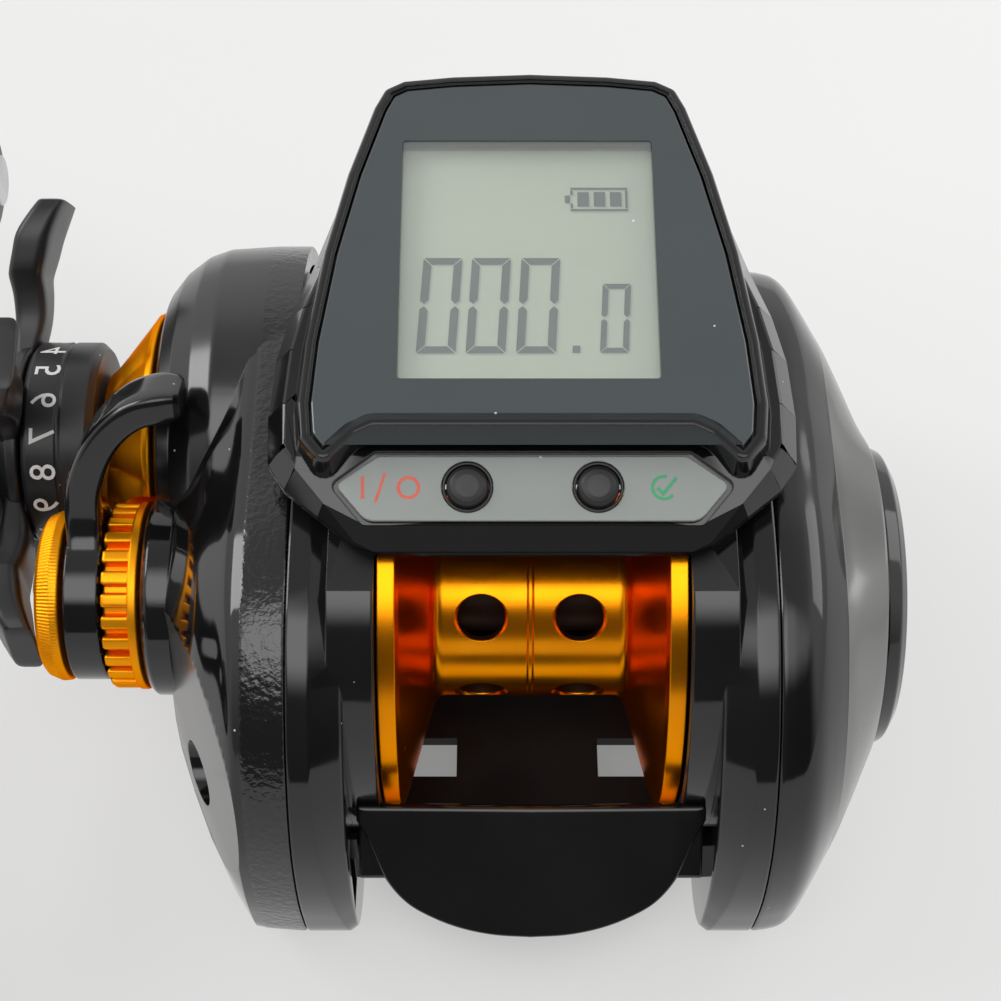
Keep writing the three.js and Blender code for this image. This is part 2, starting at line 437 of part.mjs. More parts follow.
// ---------------------------------------------------------------- clutch
{
  const yoke = cut(join(box(-21.7, -20.95, -6.2, 1.6, -4.4, 4.4), box(-21.7, -20.95, -6.2, -2.6, -11.0, 11.0)),
    box(-22, -20, -0.4, 3, -2.5, 2.5), rodX(2.5, -22, -20, 36),
    at(rodX(0.9, -22, -20, 16), 0, -4.4, 9.2), at(rodX(0.9, -22, -20, 16), 0, -4.4, -9.2));
  node(body, 'clutch_yoke', yoke, 'brass');
}
const THUMB_TOP = [-22.4, -1.9];
const THUMB_BOT = [-29.3, -11.2];
const thumbAng = Math.atan2(THUMB_TOP[1] - THUMB_BOT[1], THUMB_TOP[0] - THUMB_BOT[0]);
const THUMB_LEN = Math.hypot(THUMB_TOP[0] - THUMB_BOT[0], THUMB_TOP[1] - THUMB_BOT[1]);
{
  // D-shaped pad: drawn flat with its top edge at b = 0, then tilted up about the X axis.
  const half = [[0, -THUMB_LEN - 0.4], [3.3, -11.75], [6.2, -11.1], [8.7, -10.15], [10.9, -8.85], [12.6, -6.8], [13.8, -4.1], [14.6, -2.3], [THUMB_W, -1.1], [THUMB_W, 0]];
  const pad = join(prismZ(ccw(mirror(half)), -1.5, 0), prismZ([[-THUMB_W, -1.1], [THUMB_W, -1.1], [THUMB_W, 0.3], [-THUMB_W, 0.3]], -0.9, 0), prismZ(ccw(mirror([[0, -9.6], [6, -8.9], [10, -7.2], [12.4, -4.4], [12.4, -0.6], [0, -0.6]])), -2.6, -1.2));
  pad.rotateX(thumbAng);
  pad.translate(0, THUMB_TOP[0], THUMB_TOP[1]);
  // side lugs that run down the inside of the plates
  const lug = (x0, x1) => prismX([[-22.4, -3.4], [-20.9, -5.4], [-20.9, -10.6], [-23.2, -11.8], [-25.0, -11.4], [-26.0, -9.2]], x0, x1);
  node(body, 'thumb_bar', join(pad, lug(-15.1, -12.5), lug(12.5, 15.1)), 'gloss_black');
  const cam = join(prismX([[-22.2, -6.0], [-20.2, -6.0], [-12.4, -3.0], [-9.6, -3.0], [-9.6, -5.4], [-16, -10.2], [-22.2, -10.2]], -21.9, -21.0),
    prismX([[-22.4, -6.6], [-21.7, -6.6], [-21.7, -9.8], [-22.4, -9.8]], -21.3, -15.4));
  node(body, 'clutch_cam', cam, 'satin_black');
}

// ---------------------------------------------------------------- level wind
{
  // Worm shaft with a crossed groove read as shallow rings, in two plain journals.
  const p = [[0, -22.95], [1.3, -22.95], [1.3, -20.0], [2.3, -20.0], [2.3, -16.0]];
  for (let x = -14; x <= 12; x += 6.5) p.push([2.3, x], [1.75, x + 0.6], [1.75, x + 1.2], [2.3, x + 1.8]);
  p.push([2.3, 18.6], [2.0, 18.9], [0, 18.9]);
  node(wormAxis, 'worm_shaft', turned(p, 20), 'steel');
  node(body, 'guide_rod', rodX(1.25, -18.7, 18.7, 20), 'steel', 0, ROD_Y, ROD_Z);
  const carriage = cut(join(
    prismX([[31.0, -9.6], [36.0, -11.2], [40.4, -11.2], [40.8, -8.4], [38.6, -4.6], [38.4, 0], [34.4, 0], [31.2, -3.4]], -3.0, 3.0),
    rodX(4.7, -2.2, 2.2, 40).rotateZ(Math.PI / 2).translate(0, EYE_Y, EYE_Z)),
  at(rodX(2.65, -5, 5, 28), 0, WORM_Y, WORM_Z), at(rodX(1.6, -5, 5, 24), 0, ROD_Y, ROD_Z),
  rodX(3.7, -8, 8, 40).rotateZ(Math.PI / 2).translate(0, EYE_Y, EYE_Z));
  node(body, 'line_guide', carriage, 'satin_black');
  node(body, 'guide_ring', ringX(2.3, 3.4, -1.6, 1.6, 40).rotateZ(Math.PI / 2), 'ceramic', 0, EYE_Y, EYE_Z);
  // Hood over the line guide, between the plates.
  // Its saddle carries the front of the counter.
  const hood = join(prismX([[24.6, 15.2], [29.6, 15.6], [36.2, 15.2], [42.2, 9.6], [43.4, 4.6], [42.2, 4.6], [41.2, 8.8], [35.6, 13.8], [29.8, 14.2], [24.6, 13.8]], -15.6, 15.6),
    prismX([[25.0, 14.6], [31.2, 14.8], [30.2, 23.28], [26.0, 22.23]], -9.5, 9.5));
  node(body, 'front_hood', hood, 'gloss_black');
}

// ---------------------------------------------------------------- handle side outside
{
  // Fluted trim round the gear case boss, relieved where the tension wheel stands beside it.
  const cone = turned([[4.6, -35.2], [13.0, -35.2], [12.6, -36.1], [7.4, -40.2], [6.9, -40.8], [4.6, -40.8]], 60, true);
  const flutes = [];
  for (let i = 0; i < 12; i++) {
    const t = i / 12 * 2 * Math.PI;
    const f = new THREE.CylinderGeometry(0.8, 0.8, 9.2, 5).rotateZ(Math.PI / 2);
    f.rotateZ(rad(-48));
    f.translate(-37.9, 10.6, 0);
    f.rotateX(t);
    flutes.push(f);
  }
  const clear = at(rodX(9.2, -42, -34, 48), 0, -HANDLE_Y, -HANDLE_Z);
  node(driveAxis, 'shaft_trim_cone', cut(cone, ...flutes, clear), 'orange');

  node(driveAxis, 'star_collar', turned([[3.4, -41.2], [9.4, -41.2], [10.0, -41.8], [10.0, -47.6], [9.6, -48.0], [3.4, -48.0]], 56, true), 'satin_black');

  // Star wheel: domed hub with five arms, tips bent towards the reel.
  const parts = [turned([[3.4, -48.3], [9.8, -48.3], [9.6, -49.4], [8.2, -50.6], [6.6, -51.0], [3.4, -51.0]], 48, true)];
  const up = Math.atan2(0.653, 0.757);
  for (let i = 0; i < 5; i++) {
    const t = up + i / 5 * 2 * Math.PI;
    // section of the arm drawn in (radius, x), widening towards the tip
    const mid = [[8.6, -50.1], [12.0, -49.7], [16.5, -50.0], [20.5, -49.2], [23.7, -47.5]];
    const th = [1.9, 3.0, 3.5, 3.6, 2.8], wd = [3.0, 2.4, 3.3, 4.0, 3.1];
    const rings = mid.map(([r, x], k) => {
      const a = [];
      for (let j = 0; j < 8; j++) {
        const q = (j + 0.5) / 8 * 2 * Math.PI;
        const cx = Math.sign(Math.cos(q)) * Math.abs(Math.cos(q)) ** 0.6 * th[k] / 2;
        const cw = Math.sign(Math.sin(q)) * Math.abs(Math.sin(q)) ** 0.6 * wd[k];
        a.push([x + 0.9 + cx, cw, r]);
      }
      return a;
    });
    const arm = loftAlong(rings);
    arm.rotateX(t - Math.PI / 2);
    parts.push(arm);
  }
  node(driveAxis, 'star_wheel', join(...parts), 'satin_black');
}
function loftAlong(rings) {
  const n = rings[0].length, pos = [];
  const tri = (a, b, d) => pos.push(...a, ...b, ...d);
  for (let k = 0; k < rings.length - 1; k++) for (let i = 0; i < n; i++) {
    const j = (i + 1) % n, A = rings[k], B = rings[k + 1];
    tri(A[i], A[j], B[j]); tri(A[i], B[j], B[i]);
  }
  const first = rings[0], last = rings[rings.length - 1];
  for (let i = 1; i < n - 1; i++) { tri(first[0], first[i + 1], first[i]); tri(last[0], last[i], last[i + 1]); }
  const g = new THREE.BufferGeometry();
  g.setAttribute('position', new THREE.BufferAttribute(new Float32Array(pos), 3));
  let s = solid(g);
  if (s.volume() < 0) s = solid(flip(g));
  return geom(s);
}

// ---------------------------------------------------------------- handle
{
  const H = HANDLE_HALF;
  // Flat double-ended arm in the plane of the handle, waisted, with round ends.
  const half = [[0, 6.6], [6, 6.2], [12, 4.6], [20, 3.9], [30, 3.9], [H - 5, 4.4], [H - 1, 5.4], [H + 2.6, 4.8], [H + 5.0, 2.6], [H + 5.6, 0]];
  const pts = half.map(([y, z]) => [y, z]).concat(half.slice(1, -1).reverse().map(([y, z]) => [y, -z]));
  const q = [];
  for (const [y, z] of half) q.push([y, z]);
  for (const [y, z] of half.slice(0, -1).reverse()) q.push([y, -z]);
  const full = q.concat(half.slice(1).map(([y, z]) => [-y, -z])).concat(half.slice(1, -1).reverse().map(([y, z]) => [-y, z]));
  // side view (y, x): flat middle, then cranked outwards to the knobs
  const mid = [[0, -51.4], [9.5, -51.4], [21.5, -51.4 - CRANK], [60, -51.4 - CRANK]];
  const side = mid.concat(mid.slice().reverse().map(([y, x]) => [y, x - 2.1]));
  const both = mid.slice(1).reverse().map(([y, x]) => [-y, x]).concat(mid)
    .concat(mid.slice(1).reverse().map(([y, x]) => [y, x - 2.1])).concat(mid.map(([y, x]) => [-y, x - 2.1]));
  const crank = prismZ(ccw(both.map(([y, x]) => [x, y])), -12, 12);
  const blank = geom(solid(prismX(ccw(full), -68, -45)).intersect(solid(crank)));
  const arm = cut(blank,
    rodX(2.7, -60, -50, 28),
    at(rodX(1.9, -70, -50, 20), 0, H, 0), at(rodX(1.9, -70, -50, 20), 0, -H, 0),
    at(rodX(1.9, -70, -50, 20), 0, 25.5, 0), at(rodX(1.5, -70, -50, 20), 0, 31.5, 0),
    at(rodX(1.9, -70, -50, 20), 0, -25.5, 0), at(rodX(1.5, -70, -50, 20), 0, -31.5, 0));
  node(driveAxis, 'handle_arm', arm, 'satin_black');
  const nut = prismX(circle(5.0, 6), -56.6, -53.8);
  node(driveAxis, 'handle_nut', cut(nut, rodX(2.7, -60, -50, 28)), 'steel');
  node(driveAxis, 'nut_cap', turned([[0, -60.2], [2.6, -60.2], [4.2, -59.4], [4.6, -58.2], [4.6, -56.9], [0, -56.9]], 32), 'orange');
  for (const [tag, sgn] of [['front', 1], ['rear', -1]]) {
    node(driveAxis, `knob_shaft_${tag}`, turned([[0, -50.4], [2.8, -50.4], [2.8, -51.1], [1.55, -51.1], [1.55, -53.8], [2.6, -53.8], [2.6, -54.4], [1.55, -54.4], [1.55, -77.5], [0, -77.5]].reverse(), 28), 'steel', -CRANK, sgn * H, 0);
    // Paddle knob: round neck that swells into a wide flat grip.
    const rings = [];
    for (const [x, ry, rz] of [[-54.8, 4.4, 4.4], [-57.2, 4.0, 4.0], [-60.5, 5.0, 4.4], [-65, 8.6, 5.2], [-70, 10.6, 5.8], [-75, 10.4, 5.6], [-79, 8.6, 4.8], [-80.6, 6.6, 3.8]]) {
      rings.push(Array.from({ length: 16 }, (_, i) => {
        const t = i / 16 * 2 * Math.PI;
        return [x, ry * Math.cos(t), rz * Math.sin(t)];
      }));
    }
    node(driveAxis, `handle_knob_${tag}`, cut(loft(rings), rodX(1.95, -78.2, -50, 28), rodX(3.3, -82, -78.8, 36)), 'eva', -CRANK, sgn * H, 0);
    node(driveAxis, `knob_cap_${tag}`, turned([[0, -81.0], [2.2, -81.0], [2.9, -80.6], [2.9, -79.2], [0, -79.2]], 28), 'orange', -CRANK, sgn * H, 0);
  }
}

// ---------------------------------------------------------------- spool tension knob and its lever
{
  const teeth = gearOutline(26, 8.15, 0.45, 0.55, 0, 0.34, 0.56);
  node(body, 'tension_wheel', cut(prismX(ccw(teeth), -38.4, -35.2), rodX(5.2, -40, -34, 36)), 'orange');
  node(body, 'tension_ring', turned([[5.2, -38.7], [7.7, -38.7], [7.8, -39.0], [7.8, -41.9], [7.6, -42.1], [5.2, -42.1]], 48, true), 'gloss_black');
  node(body, 'tension_cap', turned([[0, -44.8], [6.9, -44.8], [7.7, -44.3], [7.9, -43.6], [7.9, -42.4], [4.9, -42.4], [4.9, -33.5], [0, -33.5]], 48), 'orange');
  // Lever: rises from the ring, then curves over towards the cover.
  const path = [[-40.4, 8.2], [-40.4, 9.6], [-40.1, 12.2], [-38.9, 15.4], [-37.2, 18.0], [-35.0, 19.8], [-32.8, 20.5], [-31.0, 20.6]];
  const wid = [3.4, 3.4, 3.3, 3.1, 3.0, 3.0, 3.0, 2.7], dep = [2.6, 2.6, 2.6, 2.7, 2.8, 2.9, 2.9, 2.5];
  const rings = path.map(([x, r], k) => {
    const a = path[Math.max(0, k - 1)], b = path[Math.min(path.length - 1, k + 1)];
    const d = new THREE.Vector2(b[0] - a[0], b[1] - a[1]).normalize();
    const out = [];
    for (let j = 0; j < 12; j++) {
      const q = j / 12 * 2 * Math.PI;
      const u = Math.sign(Math.cos(q)) * Math.abs(Math.cos(q)) ** 0.55 * wid[k] / 2;
      const v = Math.sign(Math.sin(q)) * Math.abs(Math.sin(q)) ** 0.55 * dep[k];
      out.push([x + u * d.y, v, r - u * d.x]);
    }
    return out;
  });
  const lever = loftAlong(rings);
  lever.rotateX(rad(70 - 90));
  node(body, 'tension_lever', lever, 'gloss_black');
}

// ---------------------------------------------------------------- counter
{
  // Bracket that carries the counter on the side plates, over the spool.
  const under = box(-30, 30, -3, 60, 0, 30).rotateX(rad(LENS_TILT)).translate(0, -10, 17.7);
  const leg = (x0, x1) => prismX([[3.0, 19.8], [9, 20.05], [13.6, 20.35], [15.2, 40], [3.0, 40]], x0, x1);
  const cross = box(-17.8, 17.8, 7.8, 10.8, 19.6, 40);
  const thick = box(-30, 30, -3, 60, -1.3, 0).rotateX(rad(LENS_TILT)).translate(0, -10, 17.7);
  const plate = geom(solid(cross).intersect(solid(thick)));
  node(body, 'counter_bracket', cut(join(leg(-20.2, -17.5), leg(17.5, 20.2), plate), under), 'gloss_black');
}
{
  const lens = ccw(mirror(LENS_HALF));
  const base = ccw(mirror(BASE_HALF));
  const grow = (pts, k) => inset(pts, -k);
  const at3 = (pts, z) => pts.map(([a, b]) => [a, b, z]);
  const lower = loft([at3(grow(base, -0.7), -5.9), at3(base, -5.2), at3(base, -4.4), at3(grow(base, -1.6), -1.9)]);
  // the button shelf: take away everything above the panel plane behind the display
  const shelf = box(-30, 30, -20, 0.4, 0, 10);
  shelf.rotateX(rad(PANEL_TILT)); shelf.translate(0, -1.8, -1.8);
  const upper = loft([at3(grow(lens, 0.9), -3.2), at3(grow(lens, 0.25), -0.5), at3(lens, 0)]);
  const bay = box(-12.6, 12.6, 12.5, 36.2, -10.4, -4);
  let h = join(cut(lower, shelf), upper, bay);
  const innerLens = grow(lens, -0.7);
  h = cut(h,
    prismZ(innerLens, -1.5, 1),
    box(-13.0, 13.0, 1.6, 31.4, -4.9, 0),
    box(-11.2, 11.2, 15.0, 40, -9.4, -4.5),
    at(new THREE.CylinderGeometry(BUTTON_R + 0.3, BUTTON_R + 0.3, 12, 16).rotateX(Math.PI / 2).rotateX(rad(PANEL_TILT)), -BUTTON_X, -4.55, -2.7),
    at(new THREE.CylinderGeometry(BUTTON_R + 0.3, BUTTON_R + 0.3, 12, 16).rotateX(Math.PI / 2).rotateX(rad(PANEL_TILT)), BUTTON_X, -4.55, -2.7));
  // shallow recess for the button panel
  const recess = prismZ(ccw([[-13.2, 0.1], [13.2, 0.1], [17.0, -2.7], [14.2, -6.1], [-14.2, -6.1], [-17.0, -2.7]]), -0.9, 2);
  recess.rotateX(rad(PANEL_TILT)); recess.translate(0, -1.8, -1.8);
  h = cut(h, recess);
  node(display, 'counter_housing', h, 'gloss_black');
  node(display, 'display_lens', prismZ(grow(lens, -1.1), -1.2, -0.15), 'lens');
  node(display, 'lcd_panel', box(-12.2, 12.2, 3.0, 30.6, -2.7, -1.8), 'lcd');
  node(display, 'circuit_board', box(-12.4, 12.4, 2.2, 30.8, -4.2, -3.4), 'pcb');
  node(display, 'battery', prismZ(circle(10.0, 28, 0, 25.6), -8.8, -5.6), 'silver');
  node(display, 'battery_cover', cut(box(-10.8, 10.8, 36.5, 38.0, -9.3, -5.2), box(-4, 4, 37.5, 39, -7.8, -6.8)), 'satin_black');
  const plate = prismZ(ccw([[-12.9, -0.25], [12.9, -0.25], [16.5, -2.75], [13.9, -5.8], [-13.9, -5.8], [-16.5, -2.75]]), -0.55, -0.05,
    [circle(BUTTON_R + 0.3, 16, -BUTTON_X, -2.9), circle(BUTTON_R + 0.3, 16, BUTTON_X, -2.9)]);
  node(panel, 'button_panel', plate, 'panel');
  const button = () => {
    const g = new THREE.LatheGeometry([[0, -3.4], [BUTTON_R, -3.4], [BUTTON_R, 0.2], [1.5, 0.55], [0.9, 0.75], [0, 0.8]].map(([r, z]) => new THREE.Vector2(r, z)), 16);
    g.rotateX(Math.PI / 2);
    const s = solid(g);
    return s.volume() < 0 ? geom(solid(flip(g))) : geom(s);
  };
  node(panel, 'button_power', button(), 'rubber', -BUTTON_X, -2.9, 0);
  node(panel, 'button_set', button(), 'rubber', BUTTON_X, -2.9, 0);
}

export default group;
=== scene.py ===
# Low-profile baitcasting reel with a line counter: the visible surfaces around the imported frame.
# Shapes are worked out in millimetres in the row frame and written in metres.
import math
import random

import bmesh
import bpy
import numpy as np
from mathutils import Matrix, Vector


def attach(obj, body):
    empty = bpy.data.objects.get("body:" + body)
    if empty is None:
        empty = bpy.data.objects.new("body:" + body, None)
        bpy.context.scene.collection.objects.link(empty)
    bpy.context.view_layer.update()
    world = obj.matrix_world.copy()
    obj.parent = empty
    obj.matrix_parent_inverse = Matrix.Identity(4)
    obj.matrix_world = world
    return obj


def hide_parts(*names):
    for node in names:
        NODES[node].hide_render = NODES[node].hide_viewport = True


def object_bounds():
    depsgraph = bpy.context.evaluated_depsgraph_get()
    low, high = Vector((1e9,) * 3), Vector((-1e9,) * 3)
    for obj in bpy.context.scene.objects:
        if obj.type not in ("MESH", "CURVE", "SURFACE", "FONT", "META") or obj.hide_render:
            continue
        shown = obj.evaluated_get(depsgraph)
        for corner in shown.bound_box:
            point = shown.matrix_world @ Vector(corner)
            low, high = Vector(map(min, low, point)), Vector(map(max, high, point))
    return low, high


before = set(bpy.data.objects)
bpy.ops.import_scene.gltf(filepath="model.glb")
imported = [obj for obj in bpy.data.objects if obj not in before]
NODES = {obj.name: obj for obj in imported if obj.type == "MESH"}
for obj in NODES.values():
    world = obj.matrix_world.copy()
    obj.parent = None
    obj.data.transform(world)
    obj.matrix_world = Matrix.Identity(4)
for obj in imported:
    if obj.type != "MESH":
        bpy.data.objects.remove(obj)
CAD_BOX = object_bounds()
random.seed(7)

# ---------------------------------------------------------------- dimensions, as in the construction
SPOOL_AXIS_Z = 23.2
HANDLE_Y, HANDLE_Z = 18.22, 1.0
WORM_Y, WORM_Z = 34.6, -6.5
ROD_Y, ROD_Z = 38.6, -9.3
EYE_Y, EYE_Z = 36.4, 3.4
FLANGE_R, SPOOL_HALF, CORE_R = 19.5, 13.0, 9.3
PORT_R, PORT_X, PORT_ROWS = 2.1, 4.4, 6
LENS_Y, LENS_Z, LENS_TILT, PANEL_TILT = -2.3, 26.0, 14, 18
BUTTON_X, BUTTON_R = 5.45, 1.75
SCREW_Y, SCREW_Z = -16.0, -5.6
HANDLE_HALF, CRANK, THUMB_W = 40.0, 8.0, 15.3

PROFILE = [
    (-8, 17.5), (-14.6, 15.2), (-20.4, 10.6), (-24.3, 5.2), (-26.5, -1), (-26.8, -8),
    (-25.6, -15), (-23.4, -21), (-18.8, -24.2), (-8, -24.2), (4, -24.2), (16, -24.2),
    (25, -22.0), (34.0, -17.4), (40.8, -11.4), (43.9, -5), (41.8, 0.2), (36, 6.4),
    (30.5, 12.6), (25, 17.4), (17.5, 20.0), (8, 19.6), (0, 18.6)]
LENS_HALF = [
    (0, 36.3), (7, 36.0), (11.4, 35.5), (13.0, 34.6), (13.9, 32.6), (16.0, 25.4), (17.8, 17.1),
    (19.1, 8.0), (19.5, 2.0), (19.2, -1.2), (17.4, -3.6), (14.9, -0.9), (13.4, -0.1)]
BASE_HALF = [
    (0, 37.2), (10, 37.0), (13.4, 35.6), (15.2, 31), (17.4, 24.5), (19.4, 18), (21.2, 13),
    (22.2, 8.5), (22.6, 3.0), (22.4, -1.6), (20.9, -4.0), (18, -6.5), (14.9, -9.2), (13.2, -9.8)]


def TR(x, y, z):
    return np.array(Matrix.Translation((x, y, z)))


def RX(deg):
    return np.array(Matrix.Rotation(math.radians(deg), 4, "X"))


BODY = TR(0, 0, SPOOL_AXIS_Z)
DRIVE = BODY @ TR(0, HANDLE_Y, HANDLE_Z)
WORM = BODY @ TR(0, WORM_Y, WORM_Z)
DISP = BODY @ TR(0, LENS_Y, LENS_Z) @ RX(LENS_TILT)
PANEL = DISP @ TR(0, -1.8, -1.8) @ RX(PANEL_TILT)

# ---------------------------------------------------------------- camera
EL, YAW, ROLL = math.radians(49.2), math.radians(0.11), math.radians(0.09)
FOCAL, DEPTH, OX, OY, MID = 2000.0, 187.0, 529.0, 595.0, 500.5
fwd = np.array([math.sin(YAW) * math.cos(EL), math.cos(YAW) * math.cos(EL), -math.sin(EL)])
right = np.array([math.cos(YAW), -math.sin(YAW), 0.0])
up = np.cross(right, fwd)
r2 = right * math.cos(ROLL) + up * math.sin(ROLL)
u2 = -right * math.sin(ROLL) + up * math.cos(ROLL)
eye = -(r2 * (OX - MID) / FOCAL * DEPTH - u2 * (OY - MID) / FOCAL * DEPTH + fwd * DEPTH)
eye = eye + np.array([0, 0, SPOOL_AXIS_Z])
cam_data = bpy.data.cameras.new("camera")
cam_data.sensor_width = 36.0
cam_data.lens = FOCAL / 1001.0 * 36.0
cam_data.clip_start = 0.01
cam_data.clip_end = 20.0
cam = bpy.data.objects.new("camera", cam_data)
bpy.context.scene.collection.objects.link(cam)
cam.matrix_world = Matrix((
    (r2[0], u2[0], -fwd[0], eye[0] / 1000),
    (r2[1], u2[1], -fwd[1], eye[1] / 1000),
    (r2[2], u2[2], -fwd[2], eye[2] / 1000),
    (0, 0, 0, 1)))
bpy.context.scene.camera = cam
bpy.context.scene.view_settings.view_transform = "Standard"


# ---------------------------------------------------------------- curves in the plane
def catmull(pts, closed=True, per=24):
    P = np.array(pts, float)
    n = len(P)
    out = []
    for i in range(n if closed else n - 1):
        if closed:
            p0, p1, p2, p3 = (P[(i + k) % n] for k in (-1, 0, 1, 2))
        else:
            p1, p2 = P[i], P[i + 1]
            p0 = P[i - 1] if i > 0 else 2 * p1 - p2
            p3 = P[i + 2] if i + 2 < n else 2 * p2 - p1
        a, b, c = (max(np.linalg.norm(q - p) ** 0.5, 1e-4) for p, q in ((p0, p1), (p1, p2), (p2, p3)))
        t1 = ((p1 - p0) / a - (p2 - p0) / (a + b) + (p2 - p1) / b) * b
        t2 = ((p2 - p1) / b - (p3 - p1) / (b + c) + (p3 - p2) / c) * b
        for k in range(per):
            t = k / per
            out.append(p1 + t1 * t + (-3 * p1 + 3 * p2 - 2 * t1 - t2) * t * t + (2 * p1 - 2 * p2 + t1 + t2) * t ** 3)
    if not closed:
        out.append(P[-1])
    return np.array(out)


def resample(P, n, closed=True):
    Q = np.vstack([P, P[:1]]) if closed else P
    d = np.concatenate([[0], np.cumsum(np.linalg.norm(np.diff(Q, axis=0), axis=1))])
    s = np.linspace(0, d[-1], n + 1)[:-1] if closed else np.linspace(0, d[-1], n)
    return np.stack([np.interp(s, d, Q[:, k]) for k in range(Q.shape[1])], 1)


def ccw(P):
    P = np.asarray(P, float)
    x, y = P[:, 0], P[:, 1]
    return P if (x * np.roll(y, -1) - y * np.roll(x, -1)).sum() > 0 else P[::-1].copy()


def inset(P, d):
    """Anticlockwise outline moved inwards by d, mitred."""
    if abs(d) < 1e-9:
        return P.copy()
    a = P - np.roll(P, 1, 0)
    b = np.roll(P, -1, 0) - P
    a = a / np.linalg.norm(a, axis=1, keepdims=True)
    b = b / np.linalg.norm(b, axis=1, keepdims=True)
    na, nb = np.stack([-a[:, 1], a[:, 0]], 1), np.stack([-b[:, 1], b[:, 0]], 1)
    k = np.maximum(1 + (na * nb).sum(1, keepdims=True), 0.3)
    return P + d * (na + nb) / k


def rounded(pts, r=0.3, radii=None, seg=4, closed=True, axis=False):
    """Polyline with its corners turned into arcs. axis=True leaves points on the turning axis alone."""
    P = [np.array(p, float) for p in pts]
    n, out = len(P), []
    for i, p in enumerate(P):
        rad = (radii or {}).get(i, r)
        if rad <= 0 or (not closed and i in (0, n - 1)) or (axis and p[0] < 1e-6):
            out.append(p)
            continue
        u, v = P[(i - 1) % n] - p, P[(i + 1) % n] - p
        lu, lv = np.linalg.norm(u), np.linalg.norm(v)
        u, v = u / lu, v / lv
        ang = math.acos(max(-1.0, min(1.0, float(u @ v))))
        if ang > math.pi - 0.03 or ang < 0.02:
            out.append(p)
            continue
        t = min(rad / math.tan(ang / 2), 0.46 * lu, 0.46 * lv)
        rr = t * math.tan(ang / 2)
        bis = (u + v) / np.linalg.norm(u + v)
        c = p + bis * rr / math.sin(ang / 2)
        a0, a1 = p + u * t - c, p + v * t - c
        tot = math.pi - ang
        for k in range(seg + 1):
            f = k / seg
            out.append(c + (math.sin((1 - f) * tot) * a0 + math.sin(f * tot) * a1) / math.sin(tot))
    return np.array(out)


def mirror(half):
    return np.array(list(half) + [(-a, b) for a, b in reversed(half) if a > 0], float)


def circle(r, n=48, cx=0.0, cy=0.0):
    t = np.arange(n) / n * 2 * math.pi
    return np.stack([cx + r * np.cos(t), cy + r * np.sin(t)], 1)


def superellipse(a, b, n=32, e=0.6):
    t = (np.arange(n) + 0.5) / n * 2 * math.pi
    c, s = np.cos(t), np.sin(t)
    return np.stack([np.sign(c) * np.abs(c) ** e * a, np.sign(s) * np.abs(s) ** e * b], 1)


# ---------------------------------------------------------------- solids, in millimetres
SCENE = bpy.context.scene.collection


def raw(V, F, M=BODY):
    V = np.asarray(V, float) @ M[:3, :3].T + M[:3, 3]
    me = bpy.data.meshes.new("m")
    me.from_pydata([tuple(v) for v in V], [], F)
    o = bpy.data.objects.new("o", me)
    SCENE.objects.link(o)
    bm = bmesh.new()
    bm.from_mesh(me)
    bmesh.ops.triangulate(bm, faces=[f for f in bm.faces if len(f.verts) > 4])
    bmesh.ops.remove_doubles(bm, verts=bm.verts, dist=2e-4)
    bmesh.ops.delete(bm, geom=[e for e in bm.edges if not e.link_faces], context="EDGES")
    bmesh.ops.recalc_face_normals(bm, faces=bm.faces)
    if bm.calc_volume(signed=True) < 0:
        bmesh.ops.reverse_faces(bm, faces=bm.faces)
    bm.to_mesh(me)
    bm.free()
    return o


def skin(rings, M=BODY, cap=True, loop=False):
    rings = [np.asarray(r, float) for r in rings]
    n, K = len(rings[0]), len(rings)
    F = []
    for k in range(K if loop else K - 1):
        a, b = k * n, ((k + 1) % K) * n
        F += [(a + i, a + (i + 1) % n, b + (i + 1) % n, b + i) for i in range(n)]
    if cap and not loop:
        F.append(tuple(range(n - 1, -1, -1)))
        F.append(tuple((K - 1) * n + i for i in range(n)))
    return raw(np.concatenate(rings), F, M)


def lathe(prof, seg=128, M=BODY, shape=None):
    """Turned about X from a closed outline of (radius, x). shape(r, x, t) may change the radius."""
    P = np.asarray(prof, float)
    rings = []
    for t in np.arange(seg) / seg * 2 * math.pi:
        r = P[:, 0] if shape is None else shape(P[:, 0], P[:, 1], t)
        rings.append(np.stack([P[:, 1], r * math.cos(t), r * math.sin(t)], 1))
    return skin(rings, M, loop=True)


def rod(r, x0, x1, seg=64, M=BODY, y=0.0, z=0.0, bev=0.0):
    p = [(0, x0), (r, x0), (r, x1), (0, x1)]
    return lathe(rounded(p, bev, axis=True) if bev else p, seg, M @ TR(0, y, z))


def plate(outline, z0, z1, M=BODY, bev=0.2, seg=3, along="z", bottom=None):
    """Prism of an anticlockwise outline with rounded rims. along x: outline is (y, z)."""
    P = ccw(outline)
    b0 = bev if bottom is None else bottom
    st = []
    if b0 > 0:
        st += [(b0 * (1 - math.sin(k / seg * math.pi / 2)), z0 + b0 * (1 - math.cos(k / seg * math.pi / 2))) for k in range(seg + 1)]
    else:
        st.append((0, z0))
    if bev > 0:
        st += [(bev * (1 - math.cos(k / seg * math.pi / 2)), z1 - bev * (1 - math.sin(k / seg * math.pi / 2))) for k in range(seg + 1)]
    else:
        st.append((0, z1))
    rings = []
    for d, z in st:
        Q = inset(P, d)
        w = np.full((len(Q), 1), z)
        rings.append(np.hstack([Q, w]) if along == "z" else np.hstack([w, Q]))
    return skin(rings, M)


def block(x0, x1, y0, y1, z0, z1, M=BODY, bev=0.0, seg=3):
    return plate([(x0, y0), (x1, y0), (x1, y1), (x0, y1)] if not bev else rounded([(x0, y0), (x1, y0), (x1, y1), (x0, y1)], bev, seg=seg),
                 z0, z1, M, bev=bev, seg=seg)


